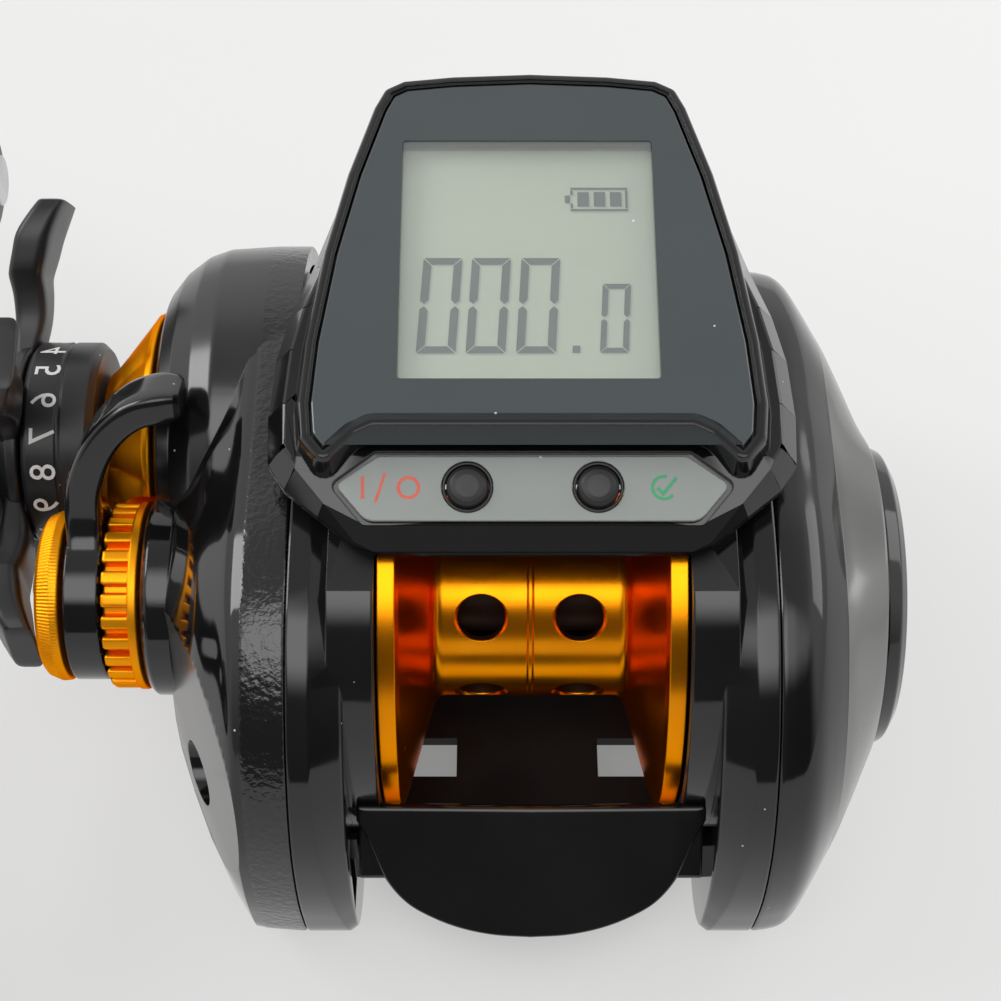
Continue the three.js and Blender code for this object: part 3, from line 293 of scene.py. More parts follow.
def boolean(a, others, op="DIFFERENCE"):
    for o in others:
        m = a.modifiers.new("b", "BOOLEAN")
        m.operation = op
        m.object = o
        try:
            m.solver = "MANIFOLD"
        except TypeError:
            m.solver = "EXACT"
    dg = bpy.context.evaluated_depsgraph_get()
    me = bpy.data.meshes.new_from_object(a.evaluated_get(dg))
    bm = bmesh.new()
    bm.from_mesh(me)
    bmesh.ops.triangulate(bm, faces=[f for f in bm.faces if len(f.verts) > 4])
    bm.to_mesh(me)
    bm.free()
    a.modifiers.clear()
    old = a.data
    a.data = me
    bpy.data.meshes.remove(old)
    for o in others:
        md = o.data
        bpy.data.objects.remove(o)
        bpy.data.meshes.remove(md)
    return a


def unite(*objs):
    return boolean(objs[0], list(objs[1:]), "UNION") if len(objs) > 1 else objs[0]


def gather(*objs):
    """Several closed solids in one mesh."""
    bm = bmesh.new()
    for o in objs:
        bm.from_mesh(o.data)
    me = bpy.data.meshes.new("m")
    bm.to_mesh(me)
    bm.free()
    for o in objs:
        md = o.data
        bpy.data.objects.remove(o)
        bpy.data.meshes.remove(md)
    n = bpy.data.objects.new("o", me)
    SCENE.objects.link(n)
    return n


def done(o, name, body, mats, stands_for=(), angle=32, pick=None):
    me = o.data
    bm = bmesh.new()
    bm.from_mesh(me)
    bmesh.ops.remove_doubles(bm, verts=bm.verts, dist=2e-4)
    bmesh.ops.dissolve_degenerate(bm, dist=2e-5, edges=bm.edges)
    bmesh.ops.dissolve_limit(bm, angle_limit=math.radians(0.12), use_dissolve_boundaries=False, verts=bm.verts, edges=bm.edges)
    bmesh.ops.triangulate(bm, faces=[f for f in bm.faces if len(f.verts) > 4])
    bm.to_mesh(me)
    bm.free()
    me.shade_smooth()
    me.set_sharp_from_angle(angle=math.radians(angle))
    # flat faces keep their own normals beside rounded rims
    w = o.modifiers.new("w", "WEIGHTED_NORMAL")
    w.mode = "FACE_AREA_WITH_ANGLE"
    w.keep_sharp = True
    me = bpy.data.meshes.new_from_object(o.evaluated_get(bpy.context.evaluated_depsgraph_get()))
    me.validate(clean_customdata=False)
    o.modifiers.clear()
    old = o.data
    o.data = me
    bpy.data.meshes.remove(old)
    me.transform(Matrix.Scale(0.001, 4))
    me.materials.clear()
    for m in mats if isinstance(mats, (list, tuple)) else [mats]:
        me.materials.append(m)
    if pick:
        for f in me.polygons:
            f.material_index = pick(f.center * 1000, f.normal)
    o.name = name
    me.name = name
    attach(o, body)
    if stands_for:
        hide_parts(*stands_for)
    return o


# ---------------------------------------------------------------- materials
def finish_of(name, c1, c2, rough, metal=0.0, vary=70.0, bumps=(), dust=0.0, dust_c=(0.5, 0.5, 0.48), bevel=0.0, coat=0.0,
              coat_rough=0.04, ior=1.5, spec=0.5, sheen=0.0, alpha=None, lines=None, wear=None, tint=None):
    """Object coordinates are in metres, so a texture scale of 1000 makes marks about a millimetre across."""
    m = bpy.data.materials.new(name)
    m.use_nodes = True
    nt = m.node_tree
    N, L = nt.nodes, nt.links
    p = N["Principled BSDF"]
    tc = N.new("ShaderNodeTexCoord")
    co = tc.outputs["Object"]
    nz = N.new("ShaderNodeTexNoise")
    nz.inputs["Scale"].default_value = vary
    nz.inputs["Detail"].default_value = 4
    L.new(co, nz.inputs["Vector"])
    mix = N.new("ShaderNodeMix")
    mix.data_type = "RGBA"
    mix.inputs[6].default_value = (*c1, 1)
    mix.inputs[7].default_value = (*c2, 1)
    ramp = N.new("ShaderNodeMapRange")
    ramp.inputs[1].default_value, ramp.inputs[2].default_value = 0.35, 0.65
    L.new(nz.outputs["Fac"], ramp.inputs[0])
    L.new(ramp.outputs[0], mix.inputs[0])
    colour = mix.outputs[2]
    rr = N.new("ShaderNodeMapRange")
    rr.inputs[1].default_value, rr.inputs[2].default_value = 0.3, 0.7
    rr.inputs[3].default_value, rr.inputs[4].default_value = rough
    L.new(nz.outputs["Fac"], rr.inputs[0])
    ro = rr.outputs[0]
    met = None
    if wear:
        # pointed edges rub paler
        geo = N.new("ShaderNodeNewGeometry")
        wr = N.new("ShaderNodeMapRange")
        wr.inputs[1].default_value, wr.inputs[2].default_value = wear[0], wear[1]
        L.new(geo.outputs["Pointiness"], wr.inputs[0])
        wm = N.new("ShaderNodeMix")
        wm.data_type = "RGBA"
        wm.inputs[7].default_value = (*wear[2], 1)
        L.new(wr.outputs[0], wm.inputs[0])
        L.new(colour, wm.inputs[6])
        colour = wm.outputs[2]
    if dust > 0:
        vo = N.new("ShaderNodeTexVoronoi")
        vo.inputs["Scale"].default_value = dust
        L.new(co, vo.inputs["Vector"])
        lt = N.new("ShaderNodeMath")
        lt.operation = "LESS_THAN"
        lt.inputs[1].default_value = 0.032
        L.new(vo.outputs["Distance"], lt.inputs[0])
        n2 = N.new("ShaderNodeTexNoise")
        n2.inputs["Scale"].default_value = dust * 0.33
        L.new(co, n2.inputs["Vector"])
        gt = N.new("ShaderNodeMath")
        gt.operation = "GREATER_THAN"
        gt.inputs[1].default_value = 0.53
        L.new(n2.outputs["Fac"], gt.inputs[0])
        mu = N.new("ShaderNodeMath")
        mu.operation = "MULTIPLY"
        L.new(lt.outputs[0], mu.inputs[0])
        L.new(gt.outputs[0], mu.inputs[1])
        dm = N.new("ShaderNodeMix")
        dm.data_type = "RGBA"
        dm.inputs[7].default_value = (*dust_c, 1)
        L.new(mu.outputs[0], dm.inputs[0])
        L.new(colour, dm.inputs[6])
        colour = dm.outputs[2]
        rm = N.new("ShaderNodeMix")
        rm.inputs[3].default_value = 0.7
        L.new(mu.outputs[0], rm.inputs[0])
        L.new(ro, rm.inputs[2])
        ro = rm.outputs[0]
    L.new(colour, p.inputs["Base Color"])
    L.new(ro, p.inputs["Roughness"])
    p.inputs["Metallic"].default_value = metal
    p.inputs["IOR"].default_value = ior
    p.inputs["Specular IOR Level"].default_value = spec
    p.inputs["Coat Weight"].default_value = coat
    p.inputs["Coat Roughness"].default_value = coat_rough
    if sheen:
        p.inputs["Sheen Weight"].default_value = sheen
        p.inputs["Sheen Roughness"].default_value = 0.5
    if alpha is not None:
        p.inputs["Alpha"].default_value = alpha
    if tint:
        p.inputs["Specular Tint"].default_value = (*tint, 1)
    normal = None
    if bevel > 0:
        bv = N.new("ShaderNodeBevel")
        bv.samples = 4
        bv.inputs["Radius"].default_value = bevel
        normal = bv.outputs["Normal"]
    for kind, scale, strength, dist in bumps:
        if kind == "noise":
            tx = N.new("ShaderNodeTexNoise")
            tx.inputs["Scale"].default_value = scale
            tx.inputs["Detail"].default_value = 2
            L.new(co, tx.inputs["Vector"])
            h = tx.outputs["Fac"]
        elif kind == "cell":
            tx = N.new("ShaderNodeTexVoronoi")
            tx.inputs["Scale"].default_value = scale
            L.new(co, tx.inputs["Vector"])
            h = tx.outputs["Distance"]
        else:                                   # fine turned or ground lines across one axis
            tx = N.new("ShaderNodeTexWave")
            tx.wave_type = "BANDS"
            tx.bands_direction = kind
            tx.inputs["Scale"].default_value = scale
            tx.inputs["Distortion"].default_value = 1.5
            tx.inputs["Detail"].default_value = 2
            L.new(co, tx.inputs["Vector"])
            h = tx.outputs["Fac"]
        bp = N.new("ShaderNodeBump")
        bp.inputs["Strength"].default_value = strength
        bp.inputs["Distance"].default_value = dist
        L.new(h, bp.inputs["Height"])
        if normal is not None:
            L.new(normal, bp.inputs["Normal"])
        normal = bp.outputs["Normal"]
    if normal is not None:
        L.new(normal, p.inputs["Normal"])
        if coat:
            L.new(normal, p.inputs["Coat Normal"])
    return m


BEV = 0.00014
GLOSS = finish_of("gloss_black_moulding", (0.0045, 0.0045, 0.005), (0.007, 0.007, 0.0075), (0.05, 0.12), vary=90, ior=1.58,
                  bumps=[("noise", 260, 0.10, 0.00005), ("noise", 1500, 0.05, 0.00001)], dust=330, bevel=BEV)
PEEL = finish_of("gloss_black_orange_peel", (0.0045, 0.0045, 0.005), (0.008, 0.008, 0.0085), (0.10, 0.18), vary=90, ior=1.66,
                 bumps=[("noise", 1700, 0.55, 0.00014), ("noise", 420, 0.18, 0.00008)], dust=300, bevel=BEV)
# painted shade: a darker, weakly reflecting copy of the gloss moulding for the counter faces turned to the rear
GLOSS_PAINTED_SHADE = finish_of("gloss_black_painted_shade_rear_faces", (0.0035, 0.0035, 0.004), (0.005, 0.005, 0.0055), (0.10, 0.18), vary=90, ior=1.33, spec=0.12,
                 bumps=[("noise", 260, 0.06, 0.00003)], dust=260, bevel=BEV)
SATIN = finish_of("satin_black_metal", (0.010, 0.010, 0.011), (0.016, 0.016, 0.017), (0.30, 0.42), vary=120, ior=1.5,
                  bumps=[("noise", 2600, 0.12, 0.00002)], dust=260, bevel=BEV)
CASE = finish_of("gear_case_black", (0.007, 0.007, 0.008), (0.012, 0.012, 0.013), (0.16, 0.26), vary=80, ior=1.66,
                 bumps=[("noise", 700, 0.06, 0.00003)], dust=300, bevel=BEV)
# painted reflection: the gloss black flank and flat cheek get a pale grey, part-metal colour that stands for the bright
# surroundings they reflect
FLANK_PAINTED_REFLECTION = finish_of("gloss_black_flank_painted_reflection", (0.20, 0.20, 0.196), (0.23, 0.23, 0.226), (0.16, 0.24), metal=0.5, vary=60,
                  bumps=[("noise", 260, 0.06, 0.00004)], bevel=BEV)
CHEEK_PAINTED_REFLECTION = finish_of("gloss_black_cheek_painted_reflection", (0.055, 0.055, 0.053), (0.075, 0.075, 0.073), (0.14, 0.22), metal=0.3, vary=60,
                    bumps=[("noise", 260, 0.06, 0.00004)], bevel=BEV)
ORANGE = finish_of("orange_anodised", (0.95, 0.325, 0.006), (0.91, 0.29, 0.004), (0.20, 0.28), metal=1.0, vary=110,
                   bumps=[("X", 2600, 0.05, 0.000006), ("noise", 1200, 0.03, 0.00001)], bevel=BEV, tint=(1.0, 0.30, 0.02))
ORANGE_FLAT = finish_of("orange_anodised_satin", (1.0, 0.40, 0.012), (0.97, 0.36, 0.009), (0.38, 0.48), metal=1.0, vary=140,
                        bumps=[("noise", 2400, 0.10, 0.00001)], bevel=BEV, tint=(1.0, 0.34, 0.03))
# painted shade: the spool's orange anodising made near black for the bore and port insides, where it lies in shade
ORANGE_PAINTED_SHADE = finish_of("orange_painted_shade_in_bore", (0.055, 0.014, 0.002), (0.035, 0.009, 0.002), (0.45, 0.6), metal=0.4, vary=200,
                        bumps=[("noise", 1800, 0.1, 0.00001)])
STEEL = finish_of("ground_steel", (0.56, 0.57, 0.58), (0.48, 0.49, 0.50), (0.22, 0.34), metal=1.0, vary=200,
                  bumps=[("X", 3200, 0.10, 0.00001)], bevel=BEV)
DARK_STEEL = finish_of("blackened_steel", (0.10, 0.10, 0.105), (0.06, 0.06, 0.065), (0.25, 0.38), metal=1.0, vary=300,
                       bumps=[("noise", 3000, 0.15, 0.00001)], bevel=BEV)
BRASS = finish_of("cut_brass", (0.70, 0.48, 0.20), (0.62, 0.40, 0.15), (0.22, 0.34), metal=1.0, vary=160,
                  bumps=[("noise", 2500, 0.1, 0.00001)], bevel=BEV)
RUBBER = finish_of("button_rubber", (0.012, 0.012, 0.013), (0.017, 0.017, 0.018), (0.34, 0.46), vary=500,
                   bumps=[("noise", 5200, 0.18, 0.00001)], dust=420, bevel=BEV)
GRIP = finish_of("foam_grip", (0.013, 0.013, 0.014), (0.024, 0.024, 0.026), (0.72, 0.9), vary=260,
                 bumps=[("cell", 2600, 0.5, 0.00008), ("noise", 5200, 0.3, 0.00003)], sheen=0.25)
WASHER = finish_of("woven_drag_washer", (0.018, 0.018, 0.02), (0.035, 0.035, 0.038), (0.45, 0.6), vary=900,
                   bumps=[("Y", 900, 0.3, 0.00005), ("Z", 900, 0.3, 0.00005)])
BOARD = finish_of("circuit_board_green", (0.010, 0.085, 0.035), (0.014, 0.12, 0.05), (0.35, 0.5), vary=400,
                  bumps=[("cell", 900, 0.2, 0.00004)])
NICKEL = finish_of("nickel_plate", (0.66, 0.65, 0.62), (0.60, 0.59, 0.56), (0.16, 0.26), metal=1.0, vary=220,
                   bumps=[("noise", 1600, 0.08, 0.00001)], bevel=BEV)
CERAMIC = finish_of("guide_ring_ceramic", (0.72, 0.71, 0.67), (0.78, 0.77, 0.73), (0.08, 0.15), vary=300,
                    bumps=[("noise", 2200, 0.04, 0.00001)], coat=0.4, bevel=BEV)
BEZEL = finish_of("tinted_display_border", (0.062, 0.072, 0.076), (0.066, 0.076, 0.080), (0.05, 0.09), vary=60,
                  bumps=[("noise", 160, 0.05, 0.00004)], dust=300, dust_c=(0.62, 0.63, 0.64))
LCD = finish_of("liquid_crystal_grey_green", (0.400, 0.452, 0.371), (0.420, 0.470, 0.389), (0.30, 0.36), vary=45,
                bumps=[("noise", 1800, 0.03, 0.00001)], dust=210, dust_c=(0.85, 0.86, 0.84), coat=0.25)
LCD_EDGE = finish_of("display_edge_grey", (0.22, 0.25, 0.22), (0.28, 0.31, 0.27), (0.4, 0.5), vary=200,
                     bumps=[("noise", 2000, 0.1, 0.00001)])
INK = finish_of("display_segment", (0.070, 0.090, 0.092), (0.078, 0.098, 0.098), (0.45, 0.55), vary=300,
                bumps=[("noise", 2500, 0.05, 0.00001)])
SHADE = finish_of("display_segment_shadow", (0.315, 0.35, 0.305), (0.325, 0.36, 0.315), (0.45, 0.55), vary=300,
                  bumps=[("noise", 2500, 0.05, 0.00001)])
PANE = finish_of("clear_pane", (0.75, 0.78, 0.76), (0.8, 0.82, 0.8), (0.03, 0.06), vary=50,
                 bumps=[("noise", 150, 0.02, 0.00002)], alpha=0.10)
PLATE = finish_of("pale_button_plate", (0.190, 0.213, 0.198), (0.210, 0.233, 0.216), (0.20, 0.28), vary=60,
                  bumps=[("noise", 3200, 0.05, 0.00001)], dust=320, dust_c=(0.75, 0.76, 0.74), coat=0.3, coat_rough=0.05, bevel=BEV)
RED = finish_of("red_marking", (0.62, 0.095, 0.06), (0.68, 0.13, 0.08), (0.4, 0.5), vary=900, bumps=[("noise", 4000, 0.1, 0.00001)])
GREEN = finish_of("green_marking", (0.035, 0.30, 0.13), (0.045, 0.36, 0.16), (0.4, 0.5), vary=900, bumps=[("noise", 4000, 0.1, 0.00001)])
WHITE = finish_of("white_marking", (0.66, 0.66, 0.65), (0.74, 0.74, 0.73), (0.4, 0.5), vary=900, bumps=[("noise", 4000, 0.1, 0.00001)])

# ---------------------------------------------------------------- frame
profile = ccw(resample(catmull(PROFILE), 220))


def plate_ring(x, s, d, cy=4.0, cz=0.0):
    Q = np.array([cy, cz]) + (profile - np.array([cy, cz])) * s
    Q = inset(Q, d)
    return np.hstack([np.full((len(Q), 1), x), Q])


def side_plate(sign):
    """Flat outer face, and a bevel inside that is widest at the upper rear and runs out at the lower rear corner."""
    rear = np.clip((4 - profile[:, 0]) / 12, 0, 1)
    low = np.clip((5 - profile[:, 1]) / 29.2, 0, 1) ** 1.3 * rear
    s_in, edge, c = 0.955 + 0.035 * low, 18.3 + 0.45 * rear - 2.55 * low, np.array([4.0, 0.0])

    def ring(f, d, dx=0.0):
        k = (s_in + (1 - s_in) * f)[:, None]
        return np.hstack([(sign * (15.9 + (edge - 15.9) * f + dx))[:, None], inset(c + (profile - c) * k, d)])

    return skin([ring(0, 0.30), ring(0.02, 0.14), ring(0.06, 0.04), ring(0.12, 0), ring(0.94, 0), ring(0.985, 0.004), ring(1.0, 0.0, 0.14)]
                + [plate_ring(sign * x, 1.0, d) for x, d in ((20.32, 0), (20.46, 0.03), (20.56, 0.11), (20.6, 0.24))])


def shroud(sign):
    p = [(0, 17.2), (21.5, 17.2), (21.5, 13.3), (0, 13.3)]
    q = rounded(p, 0.22, radii={1: 0.1}, seg=5, axis=True)
    return lathe([(r, sign * x) for r, x in q], 180)


def tilted():
    M = BODY @ TR(0, -10, 17.7) @ RX(LENS_TILT)
    return block(-30, 30, -3, 60, 0, 30, M)


fr = unite(side_plate(-1), side_plate(1), shroud(-1), shroud(1),
           block(-17, 17, -17.6, 24, -21.3, -20.1), block(-10, 10, -19.5, -17, -21.3, -20.1),
           block(-17, 17, -17.6, -15.0, -21.3, -15.6), block(-10, 10, -20.6, -17, -21.3, -15.6),
           block(-17, 17, 18.5, 25.0, -21.3, -13.6), block(-17, 17, 25.5, 29.0, 8.5, 11.8))
cutters = [
    rod(FLANGE_R + 0.6, -13.3, 13.3, 200),
    block(7.0, 14.2, -7.0, -2.5, -22, -19.5), block(-14.2, -7.0, -7.0, -2.5, -22, -19.5),
    block(6.9, 15.5, 4, 14, -22, -19.5), block(-15.5, -6.9, 4, 14, -22, -19.5),
    rod(5.3, -16.9, -12), rod(3.9, -22, -14), rod(20.1, 12, 15.1, 160), rod(17.4, 15, 22, 160),
    rod(5.3, -22, -17.4, M=DRIVE), rod(2.6, -22, -15.5, M=WORM), rod(2.6, 15.5, 19.2, M=WORM),
    rod(1.6, -19, -15.5, y=ROD_Y, z=ROD_Z), rod(1.6, 15.5, 19, y=ROD_Y, z=ROD_Z),
    tilted(), block(-22, -12, -24.6, -21.3, -15.2, -5.6)]
fr = boolean(fr, cutters)


def frame_pick(c, n):
    y, z = c[1], c[2] - SPOOL_AXIS_Z
    return 1 if abs(c[0]) < 15.8 and (math.hypot(y, z) < 20.9 or z < -12) else 0


done(fr, "frame_shell", "reel_body", [GLOSS, SATIN], ["frame"], pick=frame_pick)

# ---------------------------------------------------------------- handle side cover
def cover_ring(x, s, d=0.0):
    Q = inset(profile * s, d)
    return np.hstack([np.full((len(Q), 1), x), Q])


def dome(stations, sign, seam):
    pts = catmull(stations, closed=False, per=5)
    rings = [(20.66, 1.0, 0.26), (20.70, 1.0, 0.12), (20.80, 1.0, 0.03)] if seam else []
    return [cover_ring(sign * x, s, d) for x, s, d in rings], [cover_ring(sign * x, s) for x, s in pts]


LEFT_BAND = [(20.95, 1.0), (22.0, 0.9955), (23.2, 0.990), (24.15, 0.9855)]
LEFT_DOME = [(24.45, 0.9805), (25.5, 0.955), (27.2, 0.86), (29.1, 0.74), (31.0, 0.58), (32.4, 0.45), (32.8, 0.38)]
# low at the rear the dome keeps its full outline further out, and a flat cheek is cut across it
LOW_REAR = np.array([(20.9, 1.0), (24.3, 0.992), (25.35, 0.985), (27.2, 0.885), (29.1, 0.755), (31.0, 0.595), (32.4, 0.455), (32.8, 0.38)])


def ease(v, a, b):
    t = np.clip((v - a) / (b - a), 0, 1)
    return t * t * (3 - 2 * t)


bearing = np.degrees(np.arctan2(-profile[:, 1], -profile[:, 0]))
LOW_W = ease(bearing, -20, 5) * (1 - ease(bearing, 70, 92))


def dome_ring(x, k, d=0.0):
    kk = k + (np.interp(x, LOW_REAR[:, 0], LOW_REAR[:, 1]) - k) * LOW_W
    Q = inset(profile * kk[:, None], d)
    return np.hstack([np.full((len(Q), 1), -x), Q])


shell = skin([dome_ring(20.66, 1.0, 0.26), dome_ring(20.70, 1.0, 0.12), dome_ring(20.80, 1.0, 0.03)]
             + [dome_ring(x, k) for x, k in catmull(LEFT_BAND, closed=False, per=5)]
             + [dome_ring(x, k) for x, k in catmull(LEFT_DOME, closed=False, per=6)])


def cheek(y, z):
    return -36.163 - 0.4285 * y + 0.112 * z


fv, ff = [], [(0, 1, 2, 3), (4, 7, 6, 5), (0, 4, 5, 1), (1, 5, 6, 2), (2, 6, 7, 3), (3, 7, 4, 0)]
for xx in ("in", "out"):
    for yy, zz in ((-40, -40), (-4, -40), (-4, 30), (-40, 30)):
        fv.append((cheek(yy, zz) if xx == "in" else -60, yy, zz))
shell = boolean(shell, [raw(fv, ff)])

case_p = rounded([(0, -20.95), (19.4, -20.95), (19.4, -24.2), (19.1, -28.8), (18.4, -30.8), (16.9, -32.8), (15.0, -34.3), (13.0, -34.9), (0, -34.9)],
                 1.6, radii={1: 0.2, 3: 2.2, 7: 0.8}, seg=6, axis=True)
gear_case = lathe(case_p, 220, DRIVE)
boss_p = rounded([(0, -25), (9.5, -25), (9.5, -31.2), (9.1, -31.5), (9.1, -32.0), (9.3, -32.3), (9.3, -34.3), (8.7, -34.9), (0, -34.9)],
                 0.25, radii={6: 0.5, 7: 0.3}, seg=4, axis=True)
shell = unite(shell, gear_case, lathe(boss_p, 160))
hollow = skin([cover_ring(-19.9, 1.0, 1.8), cover_ring(-23.0, 0.985, 1.8), cover_ring(-25.4, 0.90, 1.8), cover_ring(-26.6, 0.76, 1.8)])
hollow2 = lathe([(0, -19.6), (17.6, -19.6), (17.6, -27.2), (15.5, -28.6), (0, -28.6)], 160, DRIVE)
shell = boolean(shell, [hollow, hollow2])
shell = unite(shell, rod(3.7, -28.1, -22.4, 64, y=SCREW_Y, z=SCREW_Z))
shell = boolean(shell, [
    rod(7.2, -23.6, -19.9, 96, M=WORM), rod(5.2, -36, -22, 96), rod(7.0, -33.9, -27, 96, M=DRIVE), rod(4.6, -36, -27, 96, M=DRIVE),
    rod(2.95, -40, -27.0, 96, y=SCREW_Y, z=SCREW_Z), rod(1.4, -40, -20, 48, y=SCREW_Y, z=SCREW_Z)])


def left_pick(c, n):
    x, y, z = c[0], c[1], c[2] - SPOOL_AXIS_Z
    if x > -24.35:
        return 1
    if math.hypot(y - HANDLE_Y, z - HANDLE_Z) > 12.4 and math.hypot(y - HANDLE_Y, z - HANDLE_Z) < 19.6 and x < -25.5 and y > 3:
        return 2
    # the flat cheek faces take the painted-reflection grey
    if abs(x - cheek(y, z)) < 0.03 and y < -5 and n[0] < -0.7:
        return 3
    return 0


done(shell, "handle_side_shell", "reel_body", [GLOSS, PEEL, CASE, CHEEK_PAINTED_REFLECTION], ["handle_side_cover"], pick=left_pick)

# painted shade: a dark strip inside the seam, so that the gap shows only dark and nothing shows through it
gk = [np.hstack([np.full((len(profile), 1), x), inset(profile, d)]) for x, d in ((-20.3, 1.0), (-21.6, 1.0), (-21.6, 1.7), (-20.3, 1.7))]
done(skin(gk, loop=True), "seam_shade_strip_handle_side", "reel_body", SATIN)
gk = [np.hstack([np.full((len(profile), 1), x), inset(profile, d)]) for x, d in ((20.62, 1.0), (21.9, 1.0), (21.9, 1.55), (20.62, 1.55))]
done(skin(gk, loop=True), "seam_shade_strip_palm_side", "reel_body", SATIN)

# cover screw, cross recessed
sc = lathe(rounded([(0, -28.55), (1.6, -28.53), (2.35, -28.1), (2.35, -27.05), (1.0, -27.05), (1.0, -23.7), (0, -23.7)], 0.3, axis=True), 64, BODY @ TR(0, SCREW_Y, SCREW_Z))
sc = boolean(sc, [block(-30, -27.75, -0.28, 0.28, -1.45, 1.45, BODY @ TR(0, SCREW_Y, SCREW_Z) @ RX(20)),
                  block(-30, -27.75, -1.45, 1.45, -0.28, 0.28, BODY @ TR(0, SCREW_Y, SCREW_Z) @ RX(20))])
done(sc, "cover_screw_head", "reel_body", DARK_STEEL, ["cover_screw"])

# ---------------------------------------------------------------- palm side cover and dial
RIGHT_BAND = [(20.95, 1.0), (22.2, 0.9945), (23.4, 0.982), (24.4, 0.952), (25.6, 0.890), (26.9, 0.8135)]
r0, r1 = dome(RIGHT_BAND, 1, True)
# past the kink the flank runs straight to a round rim, where the outline isn't wider anyway
R_ALL = np.hypot(profile[:, 0], profile[:, 1])


def flank(x, d=0.0):
    t = (x - 26.9) / 3.9
    k1 = np.full(len(profile), np.interp(x, [26.9, 27.8, 29.2, 30.8], [0.8135, 0.75, 0.65, 0.52]))
    k2 = (0.8135 * R_ALL * (1 - t) + 14.8 * t) / R_ALL
    k = np.maximum(k1, k2) + 0.02 * np.log1p(np.exp(-np.abs(k1 - k2) / 0.02)) * min(1.0, 4 * t)
    Q = inset(profile * k[:, None], d)
    return np.hstack([np.full((len(Q), 1), x), Q])


r2_ = [flank(x) for x in (26.98, 27.4, 27.8, 28.2, 28.6, 29.0, 29.4, 29.8, 30.2, 30.5, 30.66)] + [flank(30.74, 0.04), flank(30.79, 0.11), flank(30.8, 0.2)]
shell = skin(r0 + r1 + r2_)
hollow = skin([cover_ring(19.9, 1.0, 1.6), cover_ring(22.0, 0.985, 1.6), cover_ring(24.3, 0.865, 1.6), cover_ring(26.2, 0.75, 1.6)])
shell = boolean(shell, [hollow, rod(14.35, 28.2, 40, 200), rod(5.6, 20, 40, 96)])


# faces of the flank past the kink take the painted-reflection grey
def right_pick(c, n):
    return 1 if 26.93 < c[0] < 30.9 and math.hypot(c[1], c[2] - SPOOL_AXIS_Z) > 14.5 else 0


done(shell, "palm_side_shell", "reel_body", [GLOSS, FLANK_PAINTED_REFLECTION], ["palm_side_cover"], pick=right_pick)

dial_p = rounded([(0, 22.2), (5.1, 22.2), (5.1, 28.6), (13.9, 28.6), (14.05, 31.0), (13.5, 32.2), (12.3, 32.9), (11.0, 32.9), (10.2, 32.5), (0, 32.3)],
                 0.4, radii={4: 0.5, 5: 0.7, 6: 0.5, 7: 0.3, 8: 0.5}, seg=5, axis=True)


def finger_bar(r, x, t):
    return r


dl = lathe(dial_p, 200)
bar = plate(rounded([(-8.8, -1.3), (8.8, -1.3), (8.8, 1.3), (-8.8, 1.3)], 1.2, seg=8), 32.0, 33.0, BODY, bev=0.35, along="x")
dl = unite(dl, bar)
done(dl, "brake_dial_face", "brake_dial", GLOSS, ["brake_dial"])
ticks = []
for k in range(11):
    a = math.radians(-135 + 27 * k + 90)
    M = BODY @ np.array(Matrix.Rotation(a, 4, "X"))
    ticks.append(block(32.2, 32.47, 9.0 - (0.5 if k % 5 == 0 else 0), 9.8, -0.14, 0.14, M))
done(gather(*ticks), "brake_dial_ticks", "brake_dial", WHITE)

# ---------------------------------------------------------------- spool
sp = [(0, -13.15), (19.5, -13.15), (19.5, -11.62), (18.75, -11.3), (9.3, -8.6), (9.3, -0.32), (9.46, -0.14), (9.46, 0.14), (9.3, 0.32),
      (9.3, 8.6), (18.75, 11.3), (19.5, 11.62), (19.5, 13.15), (0, 13.15)]
sp = rounded(sp, 0.1, radii={1: 0.14, 2: 0.14, 3: 0.3, 4: 1.1, 9: 1.1, 10: 0.3, 11: 0.14, 12: 0.14}, seg=5, axis=True)
body_ = lathe(sp, 220)
cav = lathe([(3.3, -7.4), (7.7, -7.4), (7.7, 7.4), (3.3, 7.4)], 96)
dishes = [lathe(rounded([(6.2, s * 14), (17.9, s * 14), (17.9, s * 11.95), (9.6, s * 9.6), (6.2, s * 9.6)], 0.3), 160) for s in (-1, 1)]
ports = []
for k in range(PORT_ROWS):
    t = math.radians(141 + k * 360 / PORT_ROWS)
    for sx in (-1, 1):
        M = BODY @ np.array(Matrix.Rotation(t, 4, "X")) @ TR(sx * PORT_X, 0, 0) @ np.array(Matrix.Rotation(math.radians(90), 4, "Z"))
        ports.append(lathe(rounded([(0, 6.0), (2.1, 6.0), (2.1, 8.95), (2.55, 9.45), (2.9, 11.0), (0, 11.0)], 0.18, axis=True), 56, M))
body_ = boolean(body_, [cav, *dishes, rod(1.85, -15, 15), *ports])


# faces inside the bore take the painted-shade orange
def spool_pick(c, n):
    return 1 if math.hypot(c[1], c[2] - SPOOL_AXIS_Z) < 8.75 and abs(c[0]) < 9.2 else 0


done(body_, "spool_shell", "spool", [ORANGE, ORANGE_PAINTED_SHADE], ["spool"], angle=28, pick=spool_pick)

